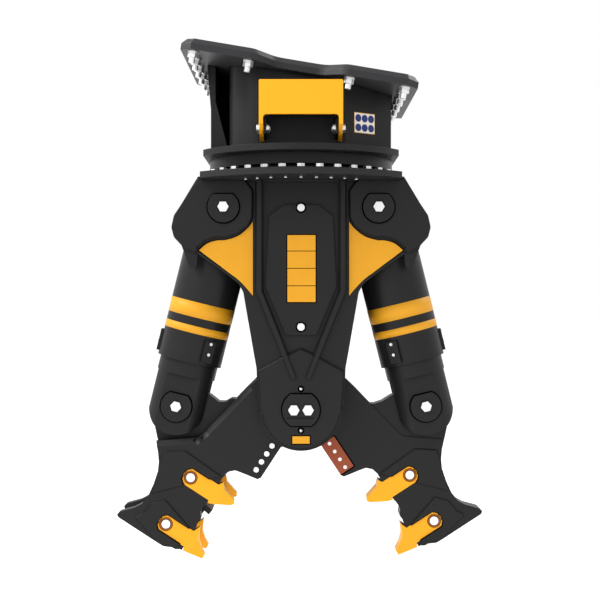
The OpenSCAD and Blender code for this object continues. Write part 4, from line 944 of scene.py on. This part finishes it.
class MP_OT_guard_nuts(bpy.types.Operator):
    """Puts the nuts and washers on the hose guard's brackets"""
    bl_idname = "mp.guard_nuts"
    bl_label = "Guard nuts"

    def execute(self, context):
        width, height = np.array(GUARD_NUT) * MM
        parts = []
        for x, way in GUARD_BOLTS:
            for sign in (-1, 1):
                for y in GUARD_BOLT_Y:
                    foot = np.array([sign * x, y, GUARD_BOLT_Z]) * MM
                    axis = [sign * way, 0, 0]
                    parts.append(revolve(np.array(GUARD_WASHER) * MM, foot, axis, 32))
                    parts.append(hex_head(width, height, foot, axis, GUARD_NUT_TURN))
        piece("guard_nuts", parts, "saddle", "bright_zinc")
        return {"FINISHED"}


class MP_OT_top_plate_screws(bpy.types.Operator):
    """Sets the gear ring's screws under the top plate"""
    bl_idname = "mp.top_plate_screws"
    bl_label = "Top plate screws"

    def execute(self, context):
        width, height = np.array(GEAR_SCREW) * MM
        under = low("frame_top_plate")[2]
        r = GEAR_SCREW_R * MM
        parts = [hex_head(width, height, [r * np.sin(a), way * r * np.cos(a), under], [0, 0, -1], a)
                 for a in GEAR_SCREWS_SEEN * 2 * np.pi / GEAR_SCREWS for way in (-1, 1)]
        piece("top_plate_screws", parts, "frame", "bright_zinc")
        return {"FINISHED"}


class MP_OT_tooth_washers(bpy.types.Operator):
    """Lays the brown washers round the teeth's bolts, whose colour paints the shade in each tooth's
    counterbore
    """
    bl_idname = "mp.tooth_washers"
    bl_label = "Tooth washers"

    def execute(self, context):
        washer = np.array(TOOTH_WASHER) * MM
        for side, sign in SIDES:
            parts = []
            for x, z in TOOTH_AT:
                for face, out in both_faces(JAW_NODE[side]):
                    foot = [sign * x * MM, face - out * TOOTH_WASHER_SUNK * MM, MAIN_PIN[2] + z * MM]
                    parts.append(revolve(washer, foot, [0, out, 0], 48))
            piece(side + "_tooth_washers", parts, side + "_jaw", "ring_paint", True)
        return {"FINISHED"}


# Studio, in metres: the floor's half side, and each light's place, the point that it looks at and its width

FLOOR_HALF = 60.0
LIGHTS = (("key", (-3.2, -4.2, 2.6), (0, 0, -0.9), 2.6),
          ("edge", (-3.4, -0.5, 2.4), (-0.3, 0, -1.5), 0.9),
          ("rim", (3.0, 2.8, 2.4), (0, 0, -0.9), 2.0))
FRAME_PX = 600
SENSOR = 36
AXIS_RIGHT_PX = 1            # the slewing axis stands this far right of the frame's middle


class MP_OT_stage(bpy.types.Operator):
    """Builds the floor, the lights, the white surroundings and the camera"""
    bl_idname = "mp.stage"
    bl_label = "Studio"

    def execute(self, context):
        scene = context.scene
        s = studio()
        floor_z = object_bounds()[0][2] - s.floor_gap
        h = FLOOR_HALF
        mesh = bpy.data.meshes.new("floor")
        mesh.from_pydata([(-h, -h, floor_z), (h, -h, floor_z), (h, h, floor_z), (-h, h, floor_z)], [],
                         [(0, 1, 2, 3)])
        floor = bpy.data.objects.new("floor", mesh)
        material, tree, shader = new_tree("studio_floor")
        shader.inputs["Base Color"].default_value = (0.85, 0.85, 0.85, 1)
        shader.inputs["Roughness"].default_value = 0.9
        shader.inputs["Specular IOR Level"].default_value = 0.1
        shader.inputs["Emission Color"].default_value = (1, 1, 1, 1)
        shader.inputs["Emission Strength"].default_value = s.floor_glow
        mesh.materials.append(material)
        scene.collection.objects.link(floor)
        floor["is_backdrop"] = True
        world = bpy.data.worlds.new("studio")
        world.use_nodes = True
        world.node_tree.nodes["Background"].inputs["Color"].default_value = (1, 1, 1, 1)
        world.node_tree.nodes["Background"].inputs["Strength"].default_value = s.surround
        scene.world = world
        for name, place, aim, width in LIGHTS:
            data = bpy.data.lights.new(name, "AREA")
            data.size = width
            data.energy = getattr(s, name + "_power")
            lamp = bpy.data.objects.new(name, data)
            lamp.location = place
            lamp.rotation_mode = "QUATERNION"
            lamp.rotation_quaternion = (Vector(place) - Vector(aim)).to_track_quat("Z", "Y")
            scene.collection.objects.link(lamp)
        camera = bpy.data.cameras.new("camera")
        camera.sensor_width = SENSOR
        camera.lens = s.focal_px / FRAME_PX * SENSOR
        camera.shift_x = -AXIS_RIGHT_PX / FRAME_PX
        view = bpy.data.objects.new("camera", camera)
        view.location = (0, -s.distance, s.height)
        view.rotation_euler = (np.pi / 2, 0, 0)
        scene.collection.objects.link(view)
        scene.camera = view
        scene.view_settings.view_transform = "Standard"
        return {"FINISHED"}


class MP_PT_panel(bpy.types.Panel):
    """Lists the steps that build the looks"""
    bl_idname = "MP_PT_panel"
    bl_label = "Multiprocessor"
    bl_space_type = "VIEW_3D"
    bl_region_type = "UI"
    bl_category = "Multiprocessor"

    def draw(self, context):
        """One button for each step."""
        for step in STEPS:
            self.layout.operator(step.bl_idname)


STEPS = (MP_OT_finishes, MP_OT_weld_beads, MP_OT_corner_decals, MP_OT_panel_plate, MP_OT_disc_plate,
         MP_OT_stripes, MP_OT_grease_nipples, MP_OT_seam_shade_lines, MP_OT_ring_seal, MP_OT_pad_screws,
         MP_OT_stud_ends, MP_OT_guard_nuts, MP_OT_top_plate_screws, MP_OT_tooth_washers, MP_OT_stage)
GROUPS = {"mp_paint": PaintSettings, "mp_decal": DecalSettings, "mp_studio": StudioSettings}


def register():
    """Registers the settings, the steps and the panel."""
    for group in GROUPS.values():
        bpy.utils.register_class(group)
    for step in STEPS + (MP_PT_panel,):
        bpy.utils.register_class(step)
    for name, group in GROUPS.items():
        setattr(bpy.types.Scene, name, bpy.props.PointerProperty(type=group))


def unregister():
    """Takes them away again, last first."""
    for name in GROUPS:
        delattr(bpy.types.Scene, name)
    for step in (MP_PT_panel,) + STEPS[::-1]:
        bpy.utils.unregister_class(step)
    for group in GROUPS.values():
        bpy.utils.unregister_class(group)


def main():
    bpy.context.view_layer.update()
    register()
    for step in STEPS:
        group, name = step.bl_idname.split(".")
        getattr(getattr(bpy.ops, group), name)()


if __name__ == "__main__":
    main()
